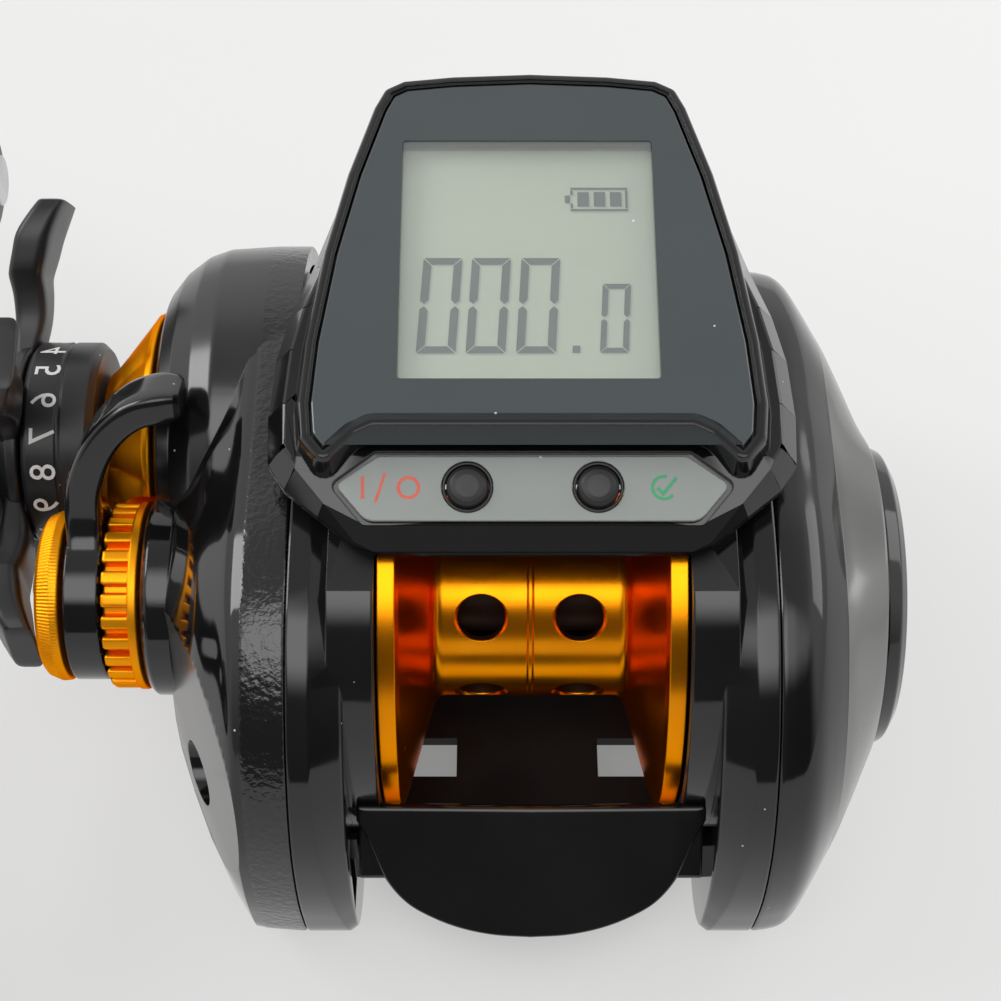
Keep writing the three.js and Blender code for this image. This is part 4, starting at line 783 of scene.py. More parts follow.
# ---------------------------------------------------------------- thumb bar
TT, TB = np.array([-22.4, -1.9]), np.array([-29.3, -11.2])
t_ang = math.degrees(math.atan2(TT[1] - TB[1], TT[0] - TB[0]))
t_len = float(np.linalg.norm(TT - TB))
THUMB = BODY @ TR(0, TT[0], TT[1]) @ RX(t_ang)
half = [(0, -t_len - 0.42), (3.3, -11.78), (6.2, -11.15), (8.7, -10.15), (10.9, -8.8), (12.6, -6.8), (13.8, -4.2), (14.6, -2.3), (15.3, -1.1)]
right_side = catmull(half, closed=False, per=10)
outline = ccw(np.array([(0, 0.3), (15.0, 0.3), (15.22, 0.2), (15.3, -0.02), (15.3, -0.6)] + [tuple(p) for p in right_side[::-1]]
                       + [(-p[0], p[1]) for p in right_side[1:]] + [(-15.3, -0.6), (-15.3, -0.02), (-15.22, 0.2), (-15.0, 0.3)]))


def crown(P):
    """Pad surface: nearly flat above the crease arc, falling away a little below it."""
    out = []
    for x, y in P:
        e = math.sqrt((x / 17.5) ** 2 + ((y - 0.6) / 7.6) ** 2)
        out.append(-(0.34 * max(0.0, e - 1.0) + 0.0010 * x * x + 0.10 * max(0.0, abs(x) - 12.6)))
    return np.array(out)


rings = []
steps = [(0.55, -1.25), (0.12, -1.15), (0.02, -0.95), (0.0, -0.6), (0.03, -0.22), (0.09, -0.08), (0.2, 0.0)]
for d, z in steps:
    Q = inset(outline, d)
    rings.append(np.stack([Q[:, 0], Q[:, 1], np.full(len(Q), z) + crown(Q)], 1))
last = inset(outline, 0.2)
for f in (0.97, 0.93, 0.89, 0.85, 0.81, 0.77, 0.73, 0.69, 0.64, 0.58, 0.5, 0.4, 0.3, 0.2, 0.1, 0.03):
    c = np.array([0, -4.6])
    Q = c + (last - c) * f
    rings.append(np.stack([Q[:, 0], Q[:, 1], crown(Q) + 0.01], 1))
pad = skin(rings, THUMB)
lugs = [plate(rounded([(-22.4, -3.4), (-20.9, -5.4), (-20.9, -9.6), (-22.3, -10.2), (-24.1, -9.5), (-25.5, -8.0)], 0.4, seg=4), a, b, BODY, bev=0.2, along="x")
        for a, b in ((-15.1, -12.5), (12.5, 15.1))]
done(unite(pad, *lugs), "thumb_bar_pad", "thumb_bar", GLOSS, ["thumb_bar"], angle=30)

# ---------------------------------------------------------------- counter
lens = ccw(rounded(mirror(LENS_HALF), 0.8, seg=5))
base = ccw(rounded(mirror(BASE_HALF), 0.7, seg=5))
flat = lambda P, d, c: np.hstack([inset(P, d), np.full((len(P), 1), c)])
lower = skin([flat(base, 0.95, -5.9), flat(base, 0.55, -5.84), flat(base, 0.12, -5.35), flat(base, 0.0, -5.1), flat(base, 0.0, -4.55),
              flat(base, 0.06, -4.38), flat(base, 1.5, -2.02), flat(base, 1.72, -1.9)], DISP)
shelf_M = DISP @ TR(0, -1.8, -1.8) @ RX(PANEL_TILT)
lower = boolean(lower, [block(-30, 30, -20, 0.4, 0, 10, shelf_M)])
upper = skin([flat(lens, -0.9, -3.2), flat(lens, -0.25, -0.55), flat(lens, -0.14, -0.22), flat(lens, 0.0, -0.06), flat(lens, 0.16, 0.0)], DISP)
bay = block(-12.6, 12.6, 12.5, 36.2, -10.4, -4, DISP, bev=0.8)
house = unite(lower, upper, bay)
recess = plate(rounded([(-13.2, 0.1), (13.2, 0.1), (17.0, -2.7), (14.2, -6.1), (-14.2, -6.1), (-17.0, -2.7)], 0.7, seg=6), -0.75, 2, PANEL, bev=0)
holes = [lathe([(0, -3.62), (BUTTON_R + 0.42, -3.62), (BUTTON_R + 0.42, 6), (0, 6)], 56,
               PANEL @ TR(sx * BUTTON_X, -2.9, 0) @ np.array(Matrix.Rotation(math.radians(-90), 4, "Y"))) for sx in (-1, 1)]
groove = plate(inset(lens, 0.52), -0.22, 1, DISP, bev=0)
pocket = plate(inset(lens, 0.74), -1.5, 1, DISP, bev=0)
house = boolean(house, [groove, pocket, block(-13.0, 13.0, 1.6, 31.4, -4.9, 0, DISP), block(-11.2, 11.2, 15.0, 40, -9.4, -4.5, DISP), recess, *holes])


# faces turned to the rear take the painted-shade copy of the gloss black
def house_pick(c, n):
    return 1 if n[1] < -0.45 and c[1] < -8 and abs(c[0]) < 19 else 0


done(house, "counter_shell", "reel_body", [GLOSS, GLOSS_PAINTED_SHADE], ["counter_housing"], angle=24, pick=house_pick)

WIN = [(-11.42, 4.35), (10.82, 4.35), (10.82, 28.95), (-11.42, 28.95)]


def quarters(P, dirs, n):
    """Closed outline as four runs between its corners, so that two outlines can be joined point by point."""
    idx = [int(np.argmax(P @ np.array(d, float))) for d in dirs]
    out = []
    for a, b in zip(idx, idx[1:] + idx[:1]):
        run = P[a:b + 1] if b > a else np.vstack([P[a:], P[:b + 1]])
        out.append(resample(run, n + 1, closed=False)[:-1])
    return np.vstack(out)


# the border is a ring of quads from the outline to the window
o_edge = quarters(ccw(inset(lens, 0.98)), [(-1, -1), (1, -1), (0.5, 1), (-0.5, 1)], 90)
w_edge = quarters(ccw(rounded(WIN, 0.25, seg=4)), [(-1, -1), (1, -1), (1, 1), (-1, 1)], 90)
at = lambda P, c: np.hstack([P, np.full((len(P), 1), c)])
lp = skin([at(o_edge, -1.3), at(o_edge, -0.26), at(inset(o_edge, 0.045), -0.15), at(inset(o_edge, 0.15), -0.10),
           at(w_edge, -0.10), at(w_edge, -1.3)], DISP, loop=True)
done(lp, "display_border", "reel_body", BEZEL, ["display_lens"], angle=5)
done(plate(rounded([(-11.36, 4.41), (10.76, 4.41), (10.76, 28.89), (-11.36, 28.89)], 0.2, seg=3), -0.42, -0.18, DISP, bev=0.03), "display_pane", "reel_body", PANE)
done(plate(rounded([(-12.2, 3.0), (12.2, 3.0), (12.2, 30.6), (-12.2, 30.6)], 0.2, seg=3), -2.7, -1.8, DISP, bev=0.05), "display_glass", "reel_body", LCD, ["lcd_panel"])
sur = plate(rounded([(-12.3, 3.2), (12.3, 3.2), (12.3, 30.4), (-12.3, 30.4)], 0.2, seg=3), -1.74, -1.36, DISP, bev=0.0)
sur = boolean(sur, [plate(rounded([(-11.6, 4.2), (11.0, 4.2), (11.0, 29.1), (-11.6, 29.1)], 0.2, seg=3), -4, 1, DISP, bev=0)])
done(sur, "display_surround", "reel_body", LCD_EDGE)

# seven-segment figures, leaning to the right
C_INK, C_SH = -1.76, -1.785


def quad_solid(P, c0, c1, M=DISP):
    return plate(np.array(P, float), c0, c1, M, bev=0)


def zero(x0, y0, w, h, lean, th, gap=0.09):
    """Outline of a nought from separate bars: x0, y0 is the lower left corner."""
    sk = lambda x, y: (x0 + x + lean * y / h, y0 + y)
    t, g, m = th, gap, h / 2
    bars = [
        [(g, 0), (w - g, 0), (w - t - g * 0.4, t * 0.95), (t + g * 0.4, t * 0.95)],
        [(g, h), (t + g * 0.4, h - t * 0.95), (w - t - g * 0.4, h - t * 0.95), (w - g, h)],
        [(0, g), (t, t + g), (t, m - t * 0.75), (t * 0.5, m - g * 1.3), (0, m - t * 0.6)],
        [(0, h - g), (0, m + t * 0.6), (t * 0.5, m + g * 1.3), (t, m + t * 0.75), (t, h - t - g)],
        [(w, g), (w, m - t * 0.6), (w - t * 0.5, m - g * 1.3), (w - t, m - t * 0.75), (w - t, t + g)],
        [(w, h - g), (w - t, h - t - g), (w - t, m + t * 0.75), (w - t * 0.5, m + g * 1.3), (w, m + t * 0.6)]]
    return [[sk(x, y) for x, y in b] for b in bars]


figs = []
for x0 in (-9.93, -5.68, -1.36):
    figs += zero(x0, 7.8, 3.40, 9.70, 0.52, 0.72)
figs += zero(5.82, 7.85, 2.46, 6.98, 0.40, 0.52, 0.07)
figs.append([(3.46, 7.85), (4.10, 7.85), (4.14, 8.55), (3.50, 8.55)])
# battery sign
bx0, bx1, by0, by1 = 3.55, 8.62, 22.5, 25.0
figs += [[(bx0, by0), (bx1, by0), (bx1, by0 + 0.2), (bx0, by0 + 0.2)], [(bx0, by1 - 0.2), (bx1, by1 - 0.2), (bx1, by1), (bx0, by1)],
         [(bx1 - 0.2, by0 + 0.28), (bx1, by0 + 0.28), (bx1, by1 - 0.28), (bx1 - 0.2, by1 - 0.28)],
         [(bx0, by0 + 0.28), (bx0 + 0.2, by0 + 0.28), (bx0 + 0.2, by0 + 0.8), (bx0, by0 + 0.8)],
         [(bx0, by1 - 0.8), (bx0 + 0.2, by1 - 0.8), (bx0 + 0.2, by1 - 0.28), (bx0, by1 - 0.28)],
         [(bx0 - 0.5, by0 + 0.85), (bx0 - 0.05, by0 + 0.85), (bx0 - 0.05, by1 - 0.85), (bx0 - 0.5, by1 - 0.85)]]
for k in range(3):
    x = bx0 + 0.62 + k * 1.45
    figs.append([(x, by0 + 0.48), (x + 1.02, by0 + 0.48), (x + 1.02, by1 - 0.48), (x, by1 - 0.48)])
done(gather(*[quad_solid(f, C_INK, C_INK + 0.02) for f in figs]), "display_figures", "reel_body", INK)
done(gather(*[quad_solid([(x + 0.16, y - 0.13) for x, y in f], C_SH, C_SH + 0.012) for f in figs]), "display_figure_shadows", "reel_body", SHADE)

# button plate, printed signs and buttons
pp = plate(rounded([(-12.9, -0.25), (12.9, -0.25), (16.5, -2.75), (13.9, -5.8), (-13.9, -5.8), (-16.5, -2.75)], 0.6, radii={3: 1.6, 4: 1.6}, seg=8), -0.6, -0.05, PANEL, bev=0.12)
pp = boolean(pp, [lathe([(0, -6), (BUTTON_R + 0.42, -6), (BUTTON_R + 0.42, 6), (0, 6)], 56,
                        PANEL @ TR(sx * BUTTON_X, -2.9, 0) @ np.array(Matrix.Rotation(math.radians(90), 4, "Y"))) for sx in (-1, 1)])
done(pp, "button_plate", "reel_body", PLATE, ["button_panel"])


def stroke(pts, w, closed=False):
    """Flat band of width w along points, as a closed outline."""
    P = np.array(pts, float)
    if closed:
        n = len(P)
        out = []
        for i in range(n):
            j = (i + 1) % n
            d = P[j] - P[i]
            d = d / np.linalg.norm(d)
            q = np.array([-d[1], d[0]]) * w / 2
            out.append([P[i] - q, P[j] - q, P[j] + q, P[i] + q])
        return out
    out = []
    for a, b in zip(P[:-1], P[1:]):
        d = (b - a) / np.linalg.norm(b - a)
        q = np.array([-d[1], d[0]]) * w / 2
        out.append([a - q, b - q, b + q, a + q])
    return out


def mark(P):
    """Thin printed mark on the button plate, from a closed outline."""
    return plate(ccw(np.array(P, float)), -0.052, -0.035, PANEL, bev=0)


def arc(cx, cy, r, a0, a1, n=56):
    t = np.radians(np.linspace(a0, a1, n))
    return np.stack([cx + r * np.cos(t), cy + r * np.sin(t)], 1)


ring = boolean(mark(arc(-10.35, -2.95, 0.99, 0, 354)), [plate(ccw(arc(-10.35, -2.95, 0.71, 0, 354)), -0.3, 0.3, PANEL, bev=0)])
bars = [mark(q) for q in stroke([(-14.16, -3.9), (-14.16, -2.0)], 0.28) + stroke([(-13.1, -4.2), (-12.3, -1.7)], 0.24)]
done(gather(ring, *bars), "power_sign", "reel_body", RED)
open_ring = mark(np.vstack([arc(10.9, -2.95, 1.08, 75, 320), arc(10.9, -2.95, 0.82, 320, 75)]))
tick = mark([(10.25, -3.04), (10.84, -3.70), (12.05, -2.19), (11.83, -2.01), (10.83, -3.27), (10.46, -2.85)])
done(gather(open_ring, tick), "set_sign", "reel_body", GREEN)

for tag, sx, bd in (("power", -1, "power_button"), ("set", 1, "set_button")):
    bp_ = rounded([(0, -2.95), (BUTTON_R, -2.95), (BUTTON_R, 0.05), (1.66, 0.42), (1.40, 0.66), (0.95, 0.78), (0.5, 0.80), (0, 0.80)], 0.25, axis=True, seg=4)
    b = lathe([(r, x) for r, x in bp_], 64, PANEL @ TR(sx * BUTTON_X, -2.9, 0) @ np.array(Matrix.Rotation(math.radians(-90), 4, "Y")))
    done(b, f"button_{tag}_dome", bd, RUBBER, [f"button_{tag}"])
    collar = lathe(rounded([(BUTTON_R + 0.12, -0.9), (BUTTON_R + 0.38, -0.9), (BUTTON_R + 0.38, -0.12), (BUTTON_R + 0.12, -0.12)], 0.08), 64,
                   PANEL @ TR(sx * BUTTON_X, -2.9, 0) @ np.array(Matrix.Rotation(math.radians(-90), 4, "Y")))
    done(collar, f"button_{tag}_well", "reel_body", RUBBER)

cv = plate(rounded([(-10.8, -9.3), (10.8, -9.3), (10.8, -5.2), (-10.8, -5.2)], 0.6, seg=5), -38.0, -36.5,
           DISP @ np.array(Matrix.Rotation(math.radians(90), 4, "X")), bev=0.2)
cv = boolean(cv, [block(-4, 4, 37.6, 39, -7.8, -6.8, DISP)])
done(cv, "battery_door", "reel_body", SATIN, ["battery_cover"])

# ---------------------------------------------------------------- tension knob and lever
def teeth(n, r0_, r1_, duty=0.62, pts=14):
    out = []
    for i in range(n * pts):
        t = i / (n * pts) * 2 * math.pi
        ph = (i % pts) / pts
        w = max(0.0, 1 - (abs(ph - 0.5) / (duty / 2)) ** 6) if abs(ph - 0.5) < duty / 2 else 0.0
        r = r0_ + (r1_ - r0_) * min(1.0, w ** 0.35 if w > 0 else 0)
        out.append((r * math.cos(t), r * math.sin(t)))
    return np.array(out)


tw = plate(teeth(26, 7.62, 8.62, duty=0.70, pts=20), -38.45, -35.7, BODY, bev=0.3, along="x", bottom=0.3)
tw = unite(tw, lathe(rounded([(5.2, -36.05), (8.75, -36.05), (8.75, -35.2), (5.2, -35.2)], 0.2, seg=4), 160))
tw = boolean(tw, [rod(5.2, -40, -34, 96)])
done(tw, "tension_wheel_toothed", "tension_knob", ORANGE_FLAT, ["tension_wheel"], angle=38)


def knurl(r, x, t):
    k = 0.045 * (abs(math.sin(t * 75)) * 2 - 1)
    return np.where((r > 7.0) & (x < -42.7), r + k, r)


tcp = rounded([(0, -44.8), (5.6, -44.8), (6.3, -44.55), (6.9, -44.75), (7.45, -44.35), (7.9, -43.3), (7.9, -42.4), (4.9, -42.4), (4.9, -33.5), (0, -33.5)], 0.25,
              radii={2: 0.6, 4: 0.4, 5: 0.5}, seg=4, axis=True)
dense = []
for a, b in zip(tcp, np.roll(tcp, -1, 0)):
    n = max(1, int(np.linalg.norm(b - a) / 0.35)) if min(a[0], b[0]) > 6.5 and max(a[1], b[1]) < -42.3 else 1
    dense += [a + (b - a) * k / n for k in range(n)]
done(lathe(dense, 600, shape=knurl), "tension_cap_knurled", "tension_knob", ORANGE_FLAT, ["tension_cap"], angle=50)

path = np.array([(-40.4, 7.0), (-40.4, 8.2), (-40.4, 9.6), (-40.1, 12.2), (-38.9, 15.4), (-37.2, 18.0), (-35.0, 19.8), (-32.8, 20.5), (-31.0, 20.6)])
wid = np.array([3.4, 3.4, 3.4, 3.3, 3.1, 3.0, 3.0, 3.0, 2.7])
dep = np.array([3.6, 2.9, 2.6, 2.6, 2.7, 2.8, 2.9, 2.9, 2.5])
fine = catmull(np.hstack([path, wid[:, None], dep[:, None]]), closed=False, per=7)
rings = []
for k in range(len(fine)):
    a, b = fine[max(0, k - 1), :2], fine[min(len(fine) - 1, k + 1), :2]
    d = (b - a) / np.linalg.norm(b - a)
    x, r, w, dp = fine[k]
    end = 1.0 if k < len(fine) - 1 else 0.9
    s = superellipse(w / 2 * end, dp * end, 40, 0.38)
    rings.append(np.stack([x + s[:, 0] * d[1], s[:, 1], r - s[:, 0] * d[0]], 1))
d_end = rings[-1].mean(0)
rings.append(d_end + (rings[-1] - d_end) * 0.93 + np.array([0.18, 0, 0]))
lever = skin(rings, BODY @ RX(-20))
tr = lathe(rounded([(5.2, -38.7), (7.7, -38.7), (7.85, -39.0), (7.85, -41.85), (7.6, -42.1), (5.2, -42.1)], 0.25, seg=4), 180)
lv = boolean(unite(tr, lever), [rod(5.2, -45, -36, 96)])
done(lv, "tension_lever_and_ring", "tension_lever", GLOSS, ["tension_ring", "tension_lever"], angle=30)

# ---------------------------------------------------------------- handle axis: trim, collar, star
def flute(r, x, t):
    f = abs(math.sin(t * 6)) ** 0.55
    m = np.clip((r - 7.3) / 1.6, 0, 1) * np.clip((-35.6 - x) / 0.8, 0, 1)
    return r - (1 - f) * 0.95 * m


cp = rounded([(4.6, -35.2), (13.0, -35.2), (12.7, -36.0), (7.4, -40.2), (6.9, -40.8), (4.6, -40.8)], 0.35, seg=4)
dense = []
for a, b in zip(cp, np.roll(cp, -1, 0)):
    n = max(1, int(np.linalg.norm(b - a) / 0.4)) if min(a[0], b[0]) > 6 else 1
    dense += [a + (b - a) * k / n for k in range(n)]
cone = lathe(dense, 360, DRIVE, shape=flute)
cone = boolean(cone, [rod(9.2, -42, -34, 128)])
done(cone, "shaft_trim_fluted", "reel_body", ORANGE_FLAT, ["shaft_trim_cone"], angle=35)

col = rounded([(3.4, -41.2), (9.3, -41.2), (10.0, -41.9), (10.0, -44.2), (9.86, -44.35), (9.86, -44.6), (10.0, -44.75), (10.0, -47.5), (9.5, -48.0), (3.4, -48.0)], 0.18,
              radii={1: 0.3, 2: 0.3, 7: 0.3, 8: 0.3}, seg=4)
done(lathe(col, 180, DRIVE), "star_collar_ring", "star_drag", SATIN, ["star_collar"])


def wrapped(text, size, r, x_mid, t_mid, M):
    """Plain figure bent round a drum about X; its top points to -X."""
    cu = bpy.data.curves.new("t", "FONT")
    cu.body = text
    cu.size = size
    cu.align_x = "CENTER"
    cu.align_y = "CENTER"
    cu.resolution_u = 3
    to = bpy.data.objects.new("t", cu)
    SCENE.objects.link(to)
    dg = bpy.context.evaluated_depsgraph_get()
    me = bpy.data.meshes.new_from_object(to.evaluated_get(dg))
    bpy.data.objects.remove(to)
    bm = bmesh.new()
    bm.from_mesh(me)
    bmesh.ops.triangulate(bm, faces=bm.faces)
    ret = bmesh.ops.extrude_face_region(bm, geom=list(bm.faces))
    top = [v for v in ret["geom"] if isinstance(v, bmesh.types.BMVert)]
    for v in top:
        v.co.z = 1.0
    bmesh.ops.recalc_face_normals(bm, faces=bm.faces)
    V = []
    for v in bm.verts:
        t = t_mid + v.co.x / r
        rr_ = r + (0.035 if v.co.z > 0.5 else -0.03)
        V.append((x_mid - v.co.y, rr_ * math.cos(t), rr_ * math.sin(t)))
    bm.verts.index_update()
    F = [tuple(v.index for v in f.verts) for f in bm.faces]
    bm.free()
    return raw(V, F, M)


marks = []
for k in range(18):
    marks.append(wrapped(str(k % 9 + 1), 3.5, 10.0, -45.7, math.radians(k * 20 + 8), DRIVE))
done(gather(*marks), "star_collar_figures", "star_drag", WHITE)

hub = lathe(rounded([(3.4, -48.3), (9.8, -48.3), (9.6, -49.4), (8.2, -50.6), (6.6, -51.0), (3.4, -51.0)], 0.35, seg=4), 128, DRIVE)
arms = []
up_ang = math.atan2(0.653, 0.757)
for i in range(5):
    t = up_ang + i / 5 * 2 * math.pi
    mid = np.array([(8.6, -50.1), (12.0, -49.7), (14.6, -49.75), (16.4, -50.0), (16.9, -49.95), (18.6, -49.55), (20.5, -49.1), (22.6, -48.1), (23.7, -47.5)])
    th = np.array([1.9, 3.0, 3.3, 3.5, 3.5, 3.6, 3.6, 3.1, 2.8])
    wd = np.array([3.0, 2.4, 2.8, 3.4, 3.6, 3.9, 4.1, 3.8, 3.4])
    fine = np.hstack([mid, th[:, None], wd[:, None]])
    fine = catmull(fine, closed=False, per=4)
    rings = []
    for r, x, h, w in fine:
        s = superellipse(h / 2, w, 32, 0.42)
        rings.append(np.stack([x + 0.9 + s[:, 0], s[:, 1], np.full(32, r)], 1))
    c = rings[-1].mean(0)
    rings.append(c + (rings[-1] - c) * 0.9 + np.array([0, 0, 0.14]))
    rings.append(c + (rings[-1] - c) * 0.8 + np.array([0, 0, 0.06]))
    arms.append(skin(rings, DRIVE @ RX(math.degrees(t - math.pi / 2))))
done(unite(hub, *arms), "star_wheel_arms", "star_drag", SATIN, ["star_wheel"], angle=35)

# ---------------------------------------------------------------- handle
H = HANDLE_HALF
q = [(0, 6.6), (6, 6.2), (12, 4.6), (20, 3.9), (30, 3.9), (H - 5, 4.4), (H - 1, 5.4), (H + 2.6, 4.8), (H + 5.0, 2.6), (H + 5.6, 0)]
full = q + [(y, -z) for y, z in q[:-1][::-1]]
full = full + [(-y, -z) for y, z in q[1:]] + [(-y, z) for y, z in q[1:-1][::-1]]
full = ccw(resample(catmull(full, per=12), 220))
mid = [(0, -51.4), (9.5, -51.4), (21.5, -51.4 - CRANK), (60, -51.4 - CRANK)]


def crank_x(y):
    a = abs(y)
    f = min(1.0, max(0.0, (a - 9.5) / 12.0))
    soft = f if 0.06 < f < 0.94 else (f * f / 0.12 if f <= 0.06 else 1 - (1 - f) ** 2 / 0.12)
    soft = f * f * (3 - 2 * f) * 0.35 + f * 0.65
    return -51.4 - CRANK * soft


rings = []
bv = 0.45
for d, off in [(bv * (1 - math.sin(k / 4 * math.pi / 2)), bv * (1 - math.cos(k / 4 * math.pi / 2))) for k in range(5)] + \
        [(bv * (1 - math.cos(k / 4 * math.pi / 2)), 2.1 - bv * (1 - math.sin(k / 4 * math.pi / 2))) for k in range(5)]:
    Q = inset(full, d)
    rings.append(np.stack([np.array([crank_x(y) - off for y in Q[:, 0]]), Q[:, 0], Q[:, 1]], 1))
# faces across the arm follow the crank, so they are built as strips
arm_v, arm_f = [], []
n = len(rings[0])
for r_ in rings:
    arm_v += [tuple(v) for v in r_]
for k in range(len(rings) - 1):
    for i in range(n):
        arm_f.append((k * n + i, k * n + (i + 1) % n, (k + 1) * n + (i + 1) % n, (k + 1) * n + i))


def cap_strip(start, flip_):
    """Closes an outline symmetric in z with strips joining points of equal y."""
    P = np.array(arm_v[start:start + n])
    lo_i, hi_i = int(np.argmin(P[:, 1])), int(np.argmax(P[:, 1]))
    a, b = [lo_i], [lo_i]
    while a[-1] != hi_i:
        a.append((a[-1] + 1) % n)
    while b[-1] != hi_i:
        b.append((b[-1] - 1) % n)
    i = j = 0
    while i < len(a) - 1 or j < len(b) - 1:
        ya = P[a[min(i + 1, len(a) - 1)], 1]
        yb = P[b[min(j + 1, len(b) - 1)], 1]
        if j == len(b) - 1 or (i < len(a) - 1 and ya <= yb):
            t3 = (a[i], a[i + 1], b[j])
            i += 1
        else:
            t3 = (a[i], b[j + 1], b[j])
            j += 1
        if len(set(t3)) == 3:
            t3 = tuple(start + v for v in t3)
            arm_f.append(t3 if flip_ else t3[::-1])


cap_strip(0, True)
cap_strip((len(rings) - 1) * n, False)
arm = raw(arm_v, arm_f, DRIVE)
arm = boolean(arm, [rod(2.7, -60, -50, 64, M=DRIVE)] + [rod(r, -70, -50, 48, M=DRIVE, y=s * yy) for s in (1, -1) for r, yy in ((1.9, H), (1.9, 25.5), (1.5, 31.5))])
done(arm, "handle_arm_cranked", "handle", SATIN, ["handle_arm"], angle=35)

nut = plate(rounded(circle(5.0, 6), 0.3, seg=3), -56.6, -53.8, DRIVE, bev=0.35, along="x")
nut = boolean(nut, [rod(2.7, -60, -50, 64, M=DRIVE)])
done(nut, "handle_nut_hex", "handle", STEEL, ["handle_nut"])
done(lathe(rounded([(0, -60.2), (2.6, -60.2), (4.2, -59.4), (4.6, -58.2), (4.6, -56.9), (0, -56.9)], 0.5, axis=True, seg=5), 96, DRIVE),
     "nut_cap_turned", "handle", ORANGE, ["nut_cap"])
for tag, sgn in (("front", 1), ("rear", -1)):
    KM = DRIVE @ TR(-CRANK, sgn * H, 0)
    kp = rounded([(0, -50.4), (2.8, -50.4), (2.8, -51.1), (1.55, -51.1), (1.55, -53.8), (2.6, -53.8), (2.6, -54.4), (1.55, -54.4), (1.55, -77.5), (0, -77.5)], 0.15, axis=True)
    done(lathe(kp, 64, KM), f"knob_shaft_{tag}_turned", "handle", STEEL, [f"knob_shaft_{tag}"])
    st = np.array([(-54.8, 4.4, 4.4), (-57.2, 4.0, 4.0), (-60.5, 5.0, 4.4), (-65, 8.6, 5.2), (-70, 10.6, 5.8), (-75, 10.4, 5.6), (-79, 8.6, 4.8), (-80.3, 7.2, 4.1)])
    fine = catmull(st, closed=False, per=7)
    rings = []
    t = np.arange(72) / 72 * 2 * math.pi
    for x, a, b in fine:
        groove_ = 0.0
        rings.append(np.stack([np.full(72, x), a * np.cos(t), b * np.sin(t) * (1 - 0.10 * np.cos(t) ** 4)], 1))
    e0, e1 = rings[0], rings[-1]
    pre = [np.stack([np.full(72, -54.8 + 0.0), e0[:, 1] * 0.93, e0[:, 2] * 0.93], 1)]
    rings[0] = rings[0] + np.array([-0.25, 0, 0])
    post = [np.stack([np.full(72, -80.5), e1[:, 1] * 0.965, e1[:, 2] * 0.965], 1), np.stack([np.full(72, -80.6), e1[:, 1] * 0.9, e1[:, 2] * 0.9], 1)]
    kb = skin(pre + rings + post, KM)
    kb = boolean(kb, [rod(1.95, -78.2, -50, 48, M=KM), rod(3.3, -82, -78.8, 64, M=KM)])
    done(kb, f"handle_knob_{tag}_grip", f"{tag}_knob", GRIP, [f"handle_knob_{tag}"], angle=40)
    done(lathe(rounded([(0, -81.0), (1.2, -81.0), (1.5, -80.8), (2.2, -80.95), (2.9, -80.6), (2.9, -79.2), (0, -79.2)], 0.2, axis=True, seg=4), 72, KM),
         f"knob_cap_{tag}_turned", f"{tag}_knob", ORANGE, [f"knob_cap_{tag}"])

# ---------------------------------------------------------------- level wind and hood
nx, nt_ = 420, 72
X = np.linspace(-16.2, 16.2, nx)
Tn = np.arange(nt_) / nt_ * 2 * math.pi
rings = []


def wrap(a):
    return (a + math.pi) % (2 * math.pi) - math.pi


for x in X:
    r = np.full(nt_, 2.3)
    if abs(x) < 14.2:
        for s in (1, -1):
            d = np.abs(wrap(Tn - s * x / 5.2 * 2 * math.pi)) * 2.3 * (5.2 / math.hypot(5.2, 2 * math.pi * 2.3))
            r = r - 0.55 * np.clip((0.62 - d) / 0.22, 0, 1) * min(1.0, (14.2 - abs(x)) / 0.5)
    r = np.maximum(r, 1.75)
    rings.append(np.stack([np.full(nt_, x), r * np.cos(Tn), r * np.sin(Tn)], 1))
ends_l = [np.stack([np.full(nt_, x), r * np.cos(Tn), r * np.sin(Tn)], 1) for x, r in ((-22.95, 1.1), (-22.85, 1.3), (-20.0, 1.3), (-20.0, 2.3))]
ends_r = [np.stack([np.full(nt_, x), r * np.cos(Tn), r * np.sin(Tn)], 1) for x, r in ((18.6, 2.3), (18.9, 2.0))]
done(skin(ends_l + rings + ends_r, WORM), "worm_shaft_grooved", "worm", STEEL, ["worm_shaft"], angle=30)
done(rod(1.25, -18.7, 18.7, 64, y=ROD_Y, z=ROD_Z, bev=0.2), "guide_rod_ground", "reel_body", STEEL, ["guide_rod"])
foot_g = plate(rounded([(31.0, -9.6), (36.0, -11.2), (40.4, -11.2), (40.8, -8.4), (38.6, -4.6), (38.4, 0), (34.4, 0), (31.2, -3.4)], 1.0, seg=5), -3.0, 3.0, BODY, bev=0.4, along="x")
EYE = BODY @ TR(0, EYE_Y, EYE_Z) @ np.array(Matrix.Rotation(math.radians(90), 4, "Z"))
eye_r = lathe(rounded([(0, -2.2), (4.7, -2.2), (4.7, 2.2), (0, 2.2)], 0.6, axis=True, seg=5), 96, EYE)
lg = unite(foot_g, eye_r)
lg = boolean(lg, [rod(2.65, -5, 5, 64, M=WORM), rod(1.6, -5, 5, 48, y=ROD_Y, z=ROD_Z), rod(3.7, -8, 8, 64, M=EYE)])
done(lg, "line_guide_carriage", "line_guide", SATIN, ["line_guide"])
done(lathe(rounded([(2.3, -1.6), (3.4, -1.6), (3.4, 1.6), (2.3, 1.6)], 0.5, seg=6), 96, EYE), "guide_ring_polished", "line_guide", CERAMIC, ["guide_ring"])
hood_p = rounded([(24.6, 15.2), (29.6, 15.6), (36.2, 15.2), (42.2, 9.6), (43.4, 4.6), (42.2, 4.6), (41.2, 8.8), (35.6, 13.8), (29.8, 14.2), (24.6, 13.8)], 0.6,
                 radii={2: 3.0, 3: 4.0, 7: 2.4, 6: 2.4}, seg=8)
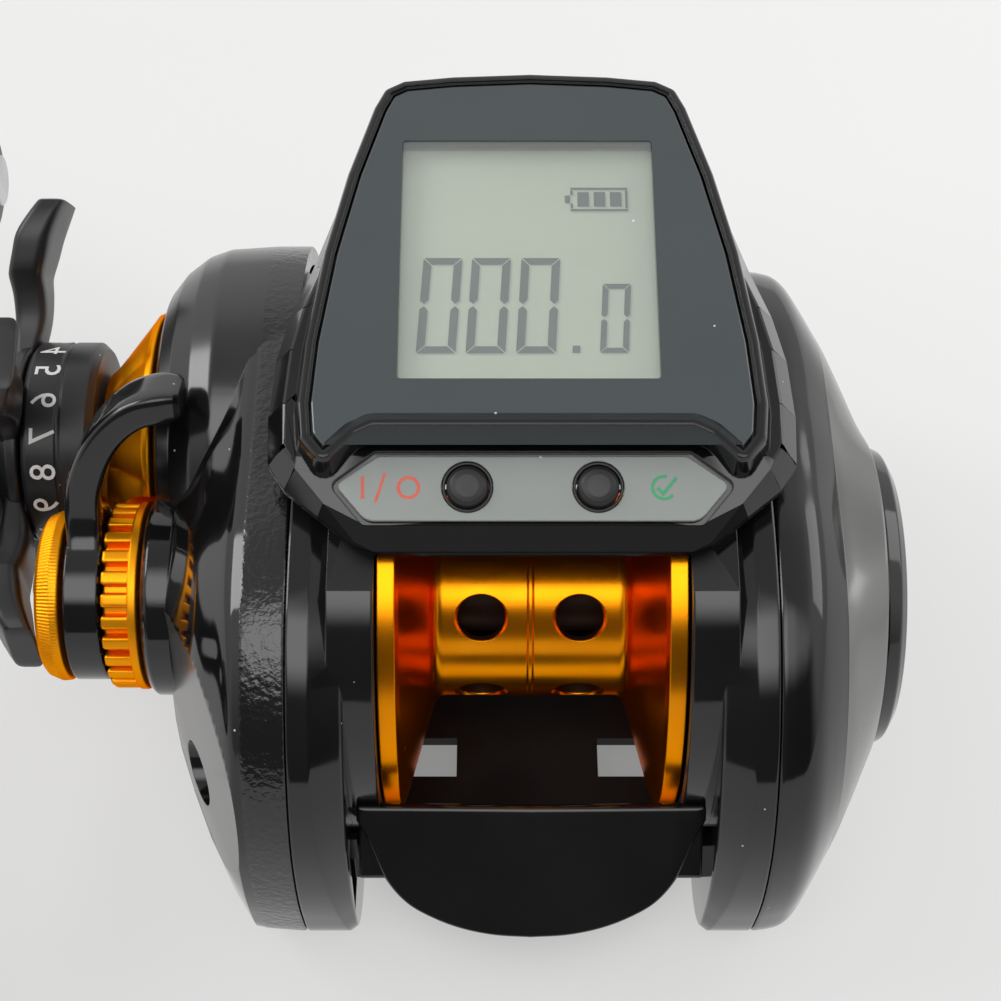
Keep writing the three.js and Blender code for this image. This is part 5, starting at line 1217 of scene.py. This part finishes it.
saddle = plate(rounded([(25.0, 14.6), (31.2, 14.8), (30.2, 23.26), (26.0, 22.21)], 0.2, seg=3), -9.5, 9.5, BODY, bev=0.2, along="x")
done(unite(plate(hood_p, -15.6, 15.6, BODY, bev=0.25, along="x"), saddle), "front_hood_curved", "reel_body", GLOSS, ["front_hood"], angle=30)

# ---------------------------------------------------------------- foot and screws
fh = [(0, 39.5), (3.0, 39.0), (4.8, 36.6), (6.0, 28), (6.4, 16), (6.4, -17), (6.0, -19.6), (4.6, -21.2), (0, -21.6)]
ft = plate(rounded(mirror(fh), 1.2, seg=5), -23.2, -21.6, BODY, bev=0.35, bottom=0.12)
sinks = []
VZ = np.array(Matrix.Rotation(math.radians(-90), 4, "Y"))
for y in (21.7, -17.8):
    M = BODY @ TR(0, y, 0) @ VZ
    sinks.append(lathe([(0, -24), (2.55, -24), (2.55, -22.5), (1.4, -22.5), (1.4, -20), (0, -20)], 56, M))
ft = boolean(ft, sinks)
done(ft, "reel_foot_plate", "reel_body", SATIN, ["reel_foot"])
for tag, y in (("front", 21.7), ("rear", -17.8)):
    M = BODY @ TR(0, y, 0) @ VZ
    s_ = lathe(rounded([(0, -23.1), (1.7, -23.1), (2.2, -22.85), (2.2, -22.5), (1.05, -22.5), (1.05, -18.8), (0, -18.8)], 0.2, axis=True), 56, M)
    s_ = boolean(s_, [block(-1.7, 1.7, y - 0.25, y + 0.25, -24, -22.75)])
    done(s_, f"foot_screw_{tag}_head", "reel_body", STEEL, [f"foot_screw_{tag}"])

# ---------------------------------------------------------------- finishes of the pieces kept from the construction
KEEP = {
    "inner_side_plate": SATIN, "magnet_holder": SATIN, "magnet_ring": NICKEL, "spool_shaft": STEEL, "spool_bearing_left": STEEL,
    "spool_bearing_right": STEEL, "pinion_gear": BRASS, "drive_gear": BRASS, "levelwind_drive_cog": SATIN, "levelwind_worm_gear": SATIN,
    "drag_washer_inner": WASHER, "drag_plate": STEEL, "drag_washer_outer": WASHER, "pressure_plate": STEEL, "anti_reverse_bearing": STEEL,
    "drive_shaft_bearing": STEEL, "drive_shaft": STEEL, "clutch_yoke": BRASS, "clutch_cam": SATIN, "counter_bracket": GLOSS,
    "circuit_board": BOARD, "battery": NICKEL}
for name, m in KEEP.items():
    o = NODES[name]
    o.data.materials.clear()
    o.data.materials.append(m)

# ---------------------------------------------------------------- floor, world and lights
low = CAD_BOX[0][2]
fm = bpy.data.materials.new("floor_white")
fm.use_nodes = True
fp = fm.node_tree.nodes["Principled BSDF"]
fp.inputs["Roughness"].default_value = 0.7
fp.inputs["Specular IOR Level"].default_value = 0.1
fn, fl = fm.node_tree.nodes, fm.node_tree.links
ftc, fsx = fn.new("ShaderNodeTexCoord"), fn.new("ShaderNodeSeparateXYZ")
fl.new(ftc.outputs["Object"], fsx.inputs[0])
fr_ = fn.new("ShaderNodeMapRange")               # painted shade: a little darker towards the viewer
fr_.interpolation_type = "SMOOTHSTEP"
fl.new(fsx.outputs[1], fr_.inputs[0])
fr_.inputs[1].default_value, fr_.inputs[2].default_value = -0.110, -0.030
fr_.inputs[3].default_value, fr_.inputs[4].default_value = 0.90, 1.0
fnz = fn.new("ShaderNodeTexNoise")
fnz.inputs["Scale"].default_value = 9
fl.new(ftc.outputs["Object"], fnz.inputs["Vector"])
fvr = fn.new("ShaderNodeMapRange")
fl.new(fnz.outputs["Fac"], fvr.inputs[0])
fvr.inputs[3].default_value, fvr.inputs[4].default_value = 0.985, 1.015
fmu = fn.new("ShaderNodeMath")
fmu.operation = "MULTIPLY"
fgr = []
# painted light: the floor a little brighter away from the viewer and towards the palm side
for ax_, lo_, hi_, c_, d_ in (("Y", -0.05, 0.09, 0.985, 1.075), ("X", -0.07, 0.07, 0.975, 1.02)):
    fsp = fn.new("ShaderNodeSeparateXYZ")
    fl.new(ftc.outputs["Object"], fsp.inputs[0])
    fmr = fn.new("ShaderNodeMapRange")
    fl.new(fsp.outputs[ax_], fmr.inputs[0])
    for i_, q_ in enumerate((lo_, hi_, c_, d_)):
        fmr.inputs[i_ + 1].default_value = q_
    fgr.append(fmr.outputs[0])
fg2, fg3 = fn.new("ShaderNodeMath"), fn.new("ShaderNodeMath")
fg2.operation = fg3.operation = "MULTIPLY"
fl.new(fgr[0], fg2.inputs[0])
fl.new(fgr[1], fg2.inputs[1])
fl.new(fr_.outputs[0], fg3.inputs[0])
fl.new(fg2.outputs[0], fg3.inputs[1])
fl.new(fg3.outputs[0], fmu.inputs[0])
fl.new(fvr.outputs[0], fmu.inputs[1])
fof, fln = fn.new("ShaderNodeVectorMath"), fn.new("ShaderNodeVectorMath")      # contact shade in an oval round the foot
fof.operation, fln.operation = "MULTIPLY_ADD", "LENGTH"
fl.new(ftc.outputs["Object"], fof.inputs[0])
fof.inputs[1].default_value = (1 / 0.026, 1 / 0.036, 0)
fof.inputs[2].default_value = (0, -0.008 / 0.036, 0)
fl.new(fof.outputs[0], fln.inputs[0])
fsh = fn.new("ShaderNodeMapRange")
fsh.interpolation_type = "SMOOTHSTEP"
fl.new(fln.outputs["Value"], fsh.inputs[0])
fsh.inputs[1].default_value, fsh.inputs[2].default_value = 0.55, 1.0
fsh.inputs[3].default_value, fsh.inputs[4].default_value = 0.42, 1.0
# the floor glows as well as reflecting, and its glow carries the painted gradients and the contact shade
fdf, fem = fn.new("ShaderNodeMath"), fn.new("ShaderNodeMath")
fdf.operation = fem.operation = "MULTIPLY"
fdf.inputs[1].default_value, fem.inputs[1].default_value = 0.22, 0.55
fl.new(fmu.outputs[0], fdf.inputs[0])
fm2 = fn.new("ShaderNodeMath")
fm2.operation = "MULTIPLY"
fl.new(fmu.outputs[0], fm2.inputs[0])
fl.new(fsh.outputs[0], fm2.inputs[1])
fl.new(fm2.outputs[0], fem.inputs[0])
fcc = fn.new("ShaderNodeCombineColor")
for i_ in range(3):
    fl.new(fdf.outputs[0], fcc.inputs[i_])
fl.new(fcc.outputs[0], fp.inputs["Base Color"])
fp.inputs["Emission Color"].default_value = (1.0, 1.0, 0.992, 1)
fl.new(fem.outputs[0], fp.inputs["Emission Strength"])
me = bpy.data.meshes.new("floor")
me.from_pydata([(-3, -3, low - 0.00005), (3, -3, low - 0.00005), (3, 3, low - 0.00005), (-3, 3, low - 0.00005)], [], [(0, 1, 2, 3)])
me.materials.append(fm)
floor = bpy.data.objects.new("floor", me)
SCENE.objects.link(floor)

world = bpy.data.worlds.new("studio")
bpy.context.scene.world = world
world.use_nodes = True
wn, wl = world.node_tree.nodes, world.node_tree.links
bg = wn["Background"]
tc = wn.new("ShaderNodeTexCoord")
sx = wn.new("ShaderNodeSeparateXYZ")
wl.new(tc.outputs["Generated"], sx.inputs[0])


def wmath(op, a, b=None, c=None):
    n = wn.new("ShaderNodeMath")
    n.operation = op
    for i, v in enumerate((a, b, c)):
        if v is None:
            continue
        if isinstance(v, (int, float)):
            n.inputs[i].default_value = v
        else:
            wl.new(v, n.inputs[i])
    return n.outputs[0]


def wrange(v, a, b, c=0.0, d=1.0):
    n = wn.new("ShaderNodeMapRange")
    n.interpolation_type = "SMOOTHSTEP"
    wl.new(v, n.inputs[0])
    for i, q in enumerate((a, b, c, d)):
        n.inputs[i + 1].default_value = q
    return n.outputs[0]


x_, y_, z_ = sx.outputs
side = wmath("DIVIDE", wmath("MULTIPLY", y_, -1.0), wmath("SQRT", wmath("ADD", wmath("ADD", wmath("MULTIPLY", x_, x_), wmath("MULTIPLY", y_, y_)), 1e-5)))
rear = wrange(side, 0.35, 0.80)                      # 1 towards the viewer's side
base_l = wmath("SUBTRACT", wrange(z_, -0.1, 0.50, 0.62, 0.90), wrange(z_, 0.70, 0.97, 0.0, 0.45))
# behind the viewer: dark low down, then a strong soft box about the viewer's own height
box_l = wmath("SUBTRACT", wrange(z_, 0.58, 0.77, 0.10, 2.8), wrange(z_, 0.92, 1.0, 0.0, 2.0))
box_l = wmath("MULTIPLY", box_l, wrange(x_, 0.08, 0.42, 1.0, 0.45))      # weaker on the palm side
lvl = wmath("ADD", wmath("MULTIPLY", base_l, wmath("SUBTRACT", 1.0, rear)), wmath("MULTIPLY", box_l, rear))
wl.new(lvl, bg.inputs["Strength"])
bg.inputs["Color"].default_value = (1.0, 1.0, 0.995, 1)

for nm, loc, size, energy in (("key", (-0.85, 0.15, 0.75), 0.5, 4.0), ("fill", (0.95, 0.30, 0.55), 0.6, 2.0)):
    ld = bpy.data.lights.new(nm, "AREA")
    ld.shape = "SQUARE"
    ld.size = size
    ld.energy = energy
    lo = bpy.data.objects.new(nm, ld)
    lo.location = loc
    d = Matrix.Translation((0, 0, 0)).to_translation() - lo.location
    lo.rotation_mode = "QUATERNION"
    lo.rotation_quaternion = d.to_track_quat("-Z", "Y")
    SCENE.objects.link(lo)
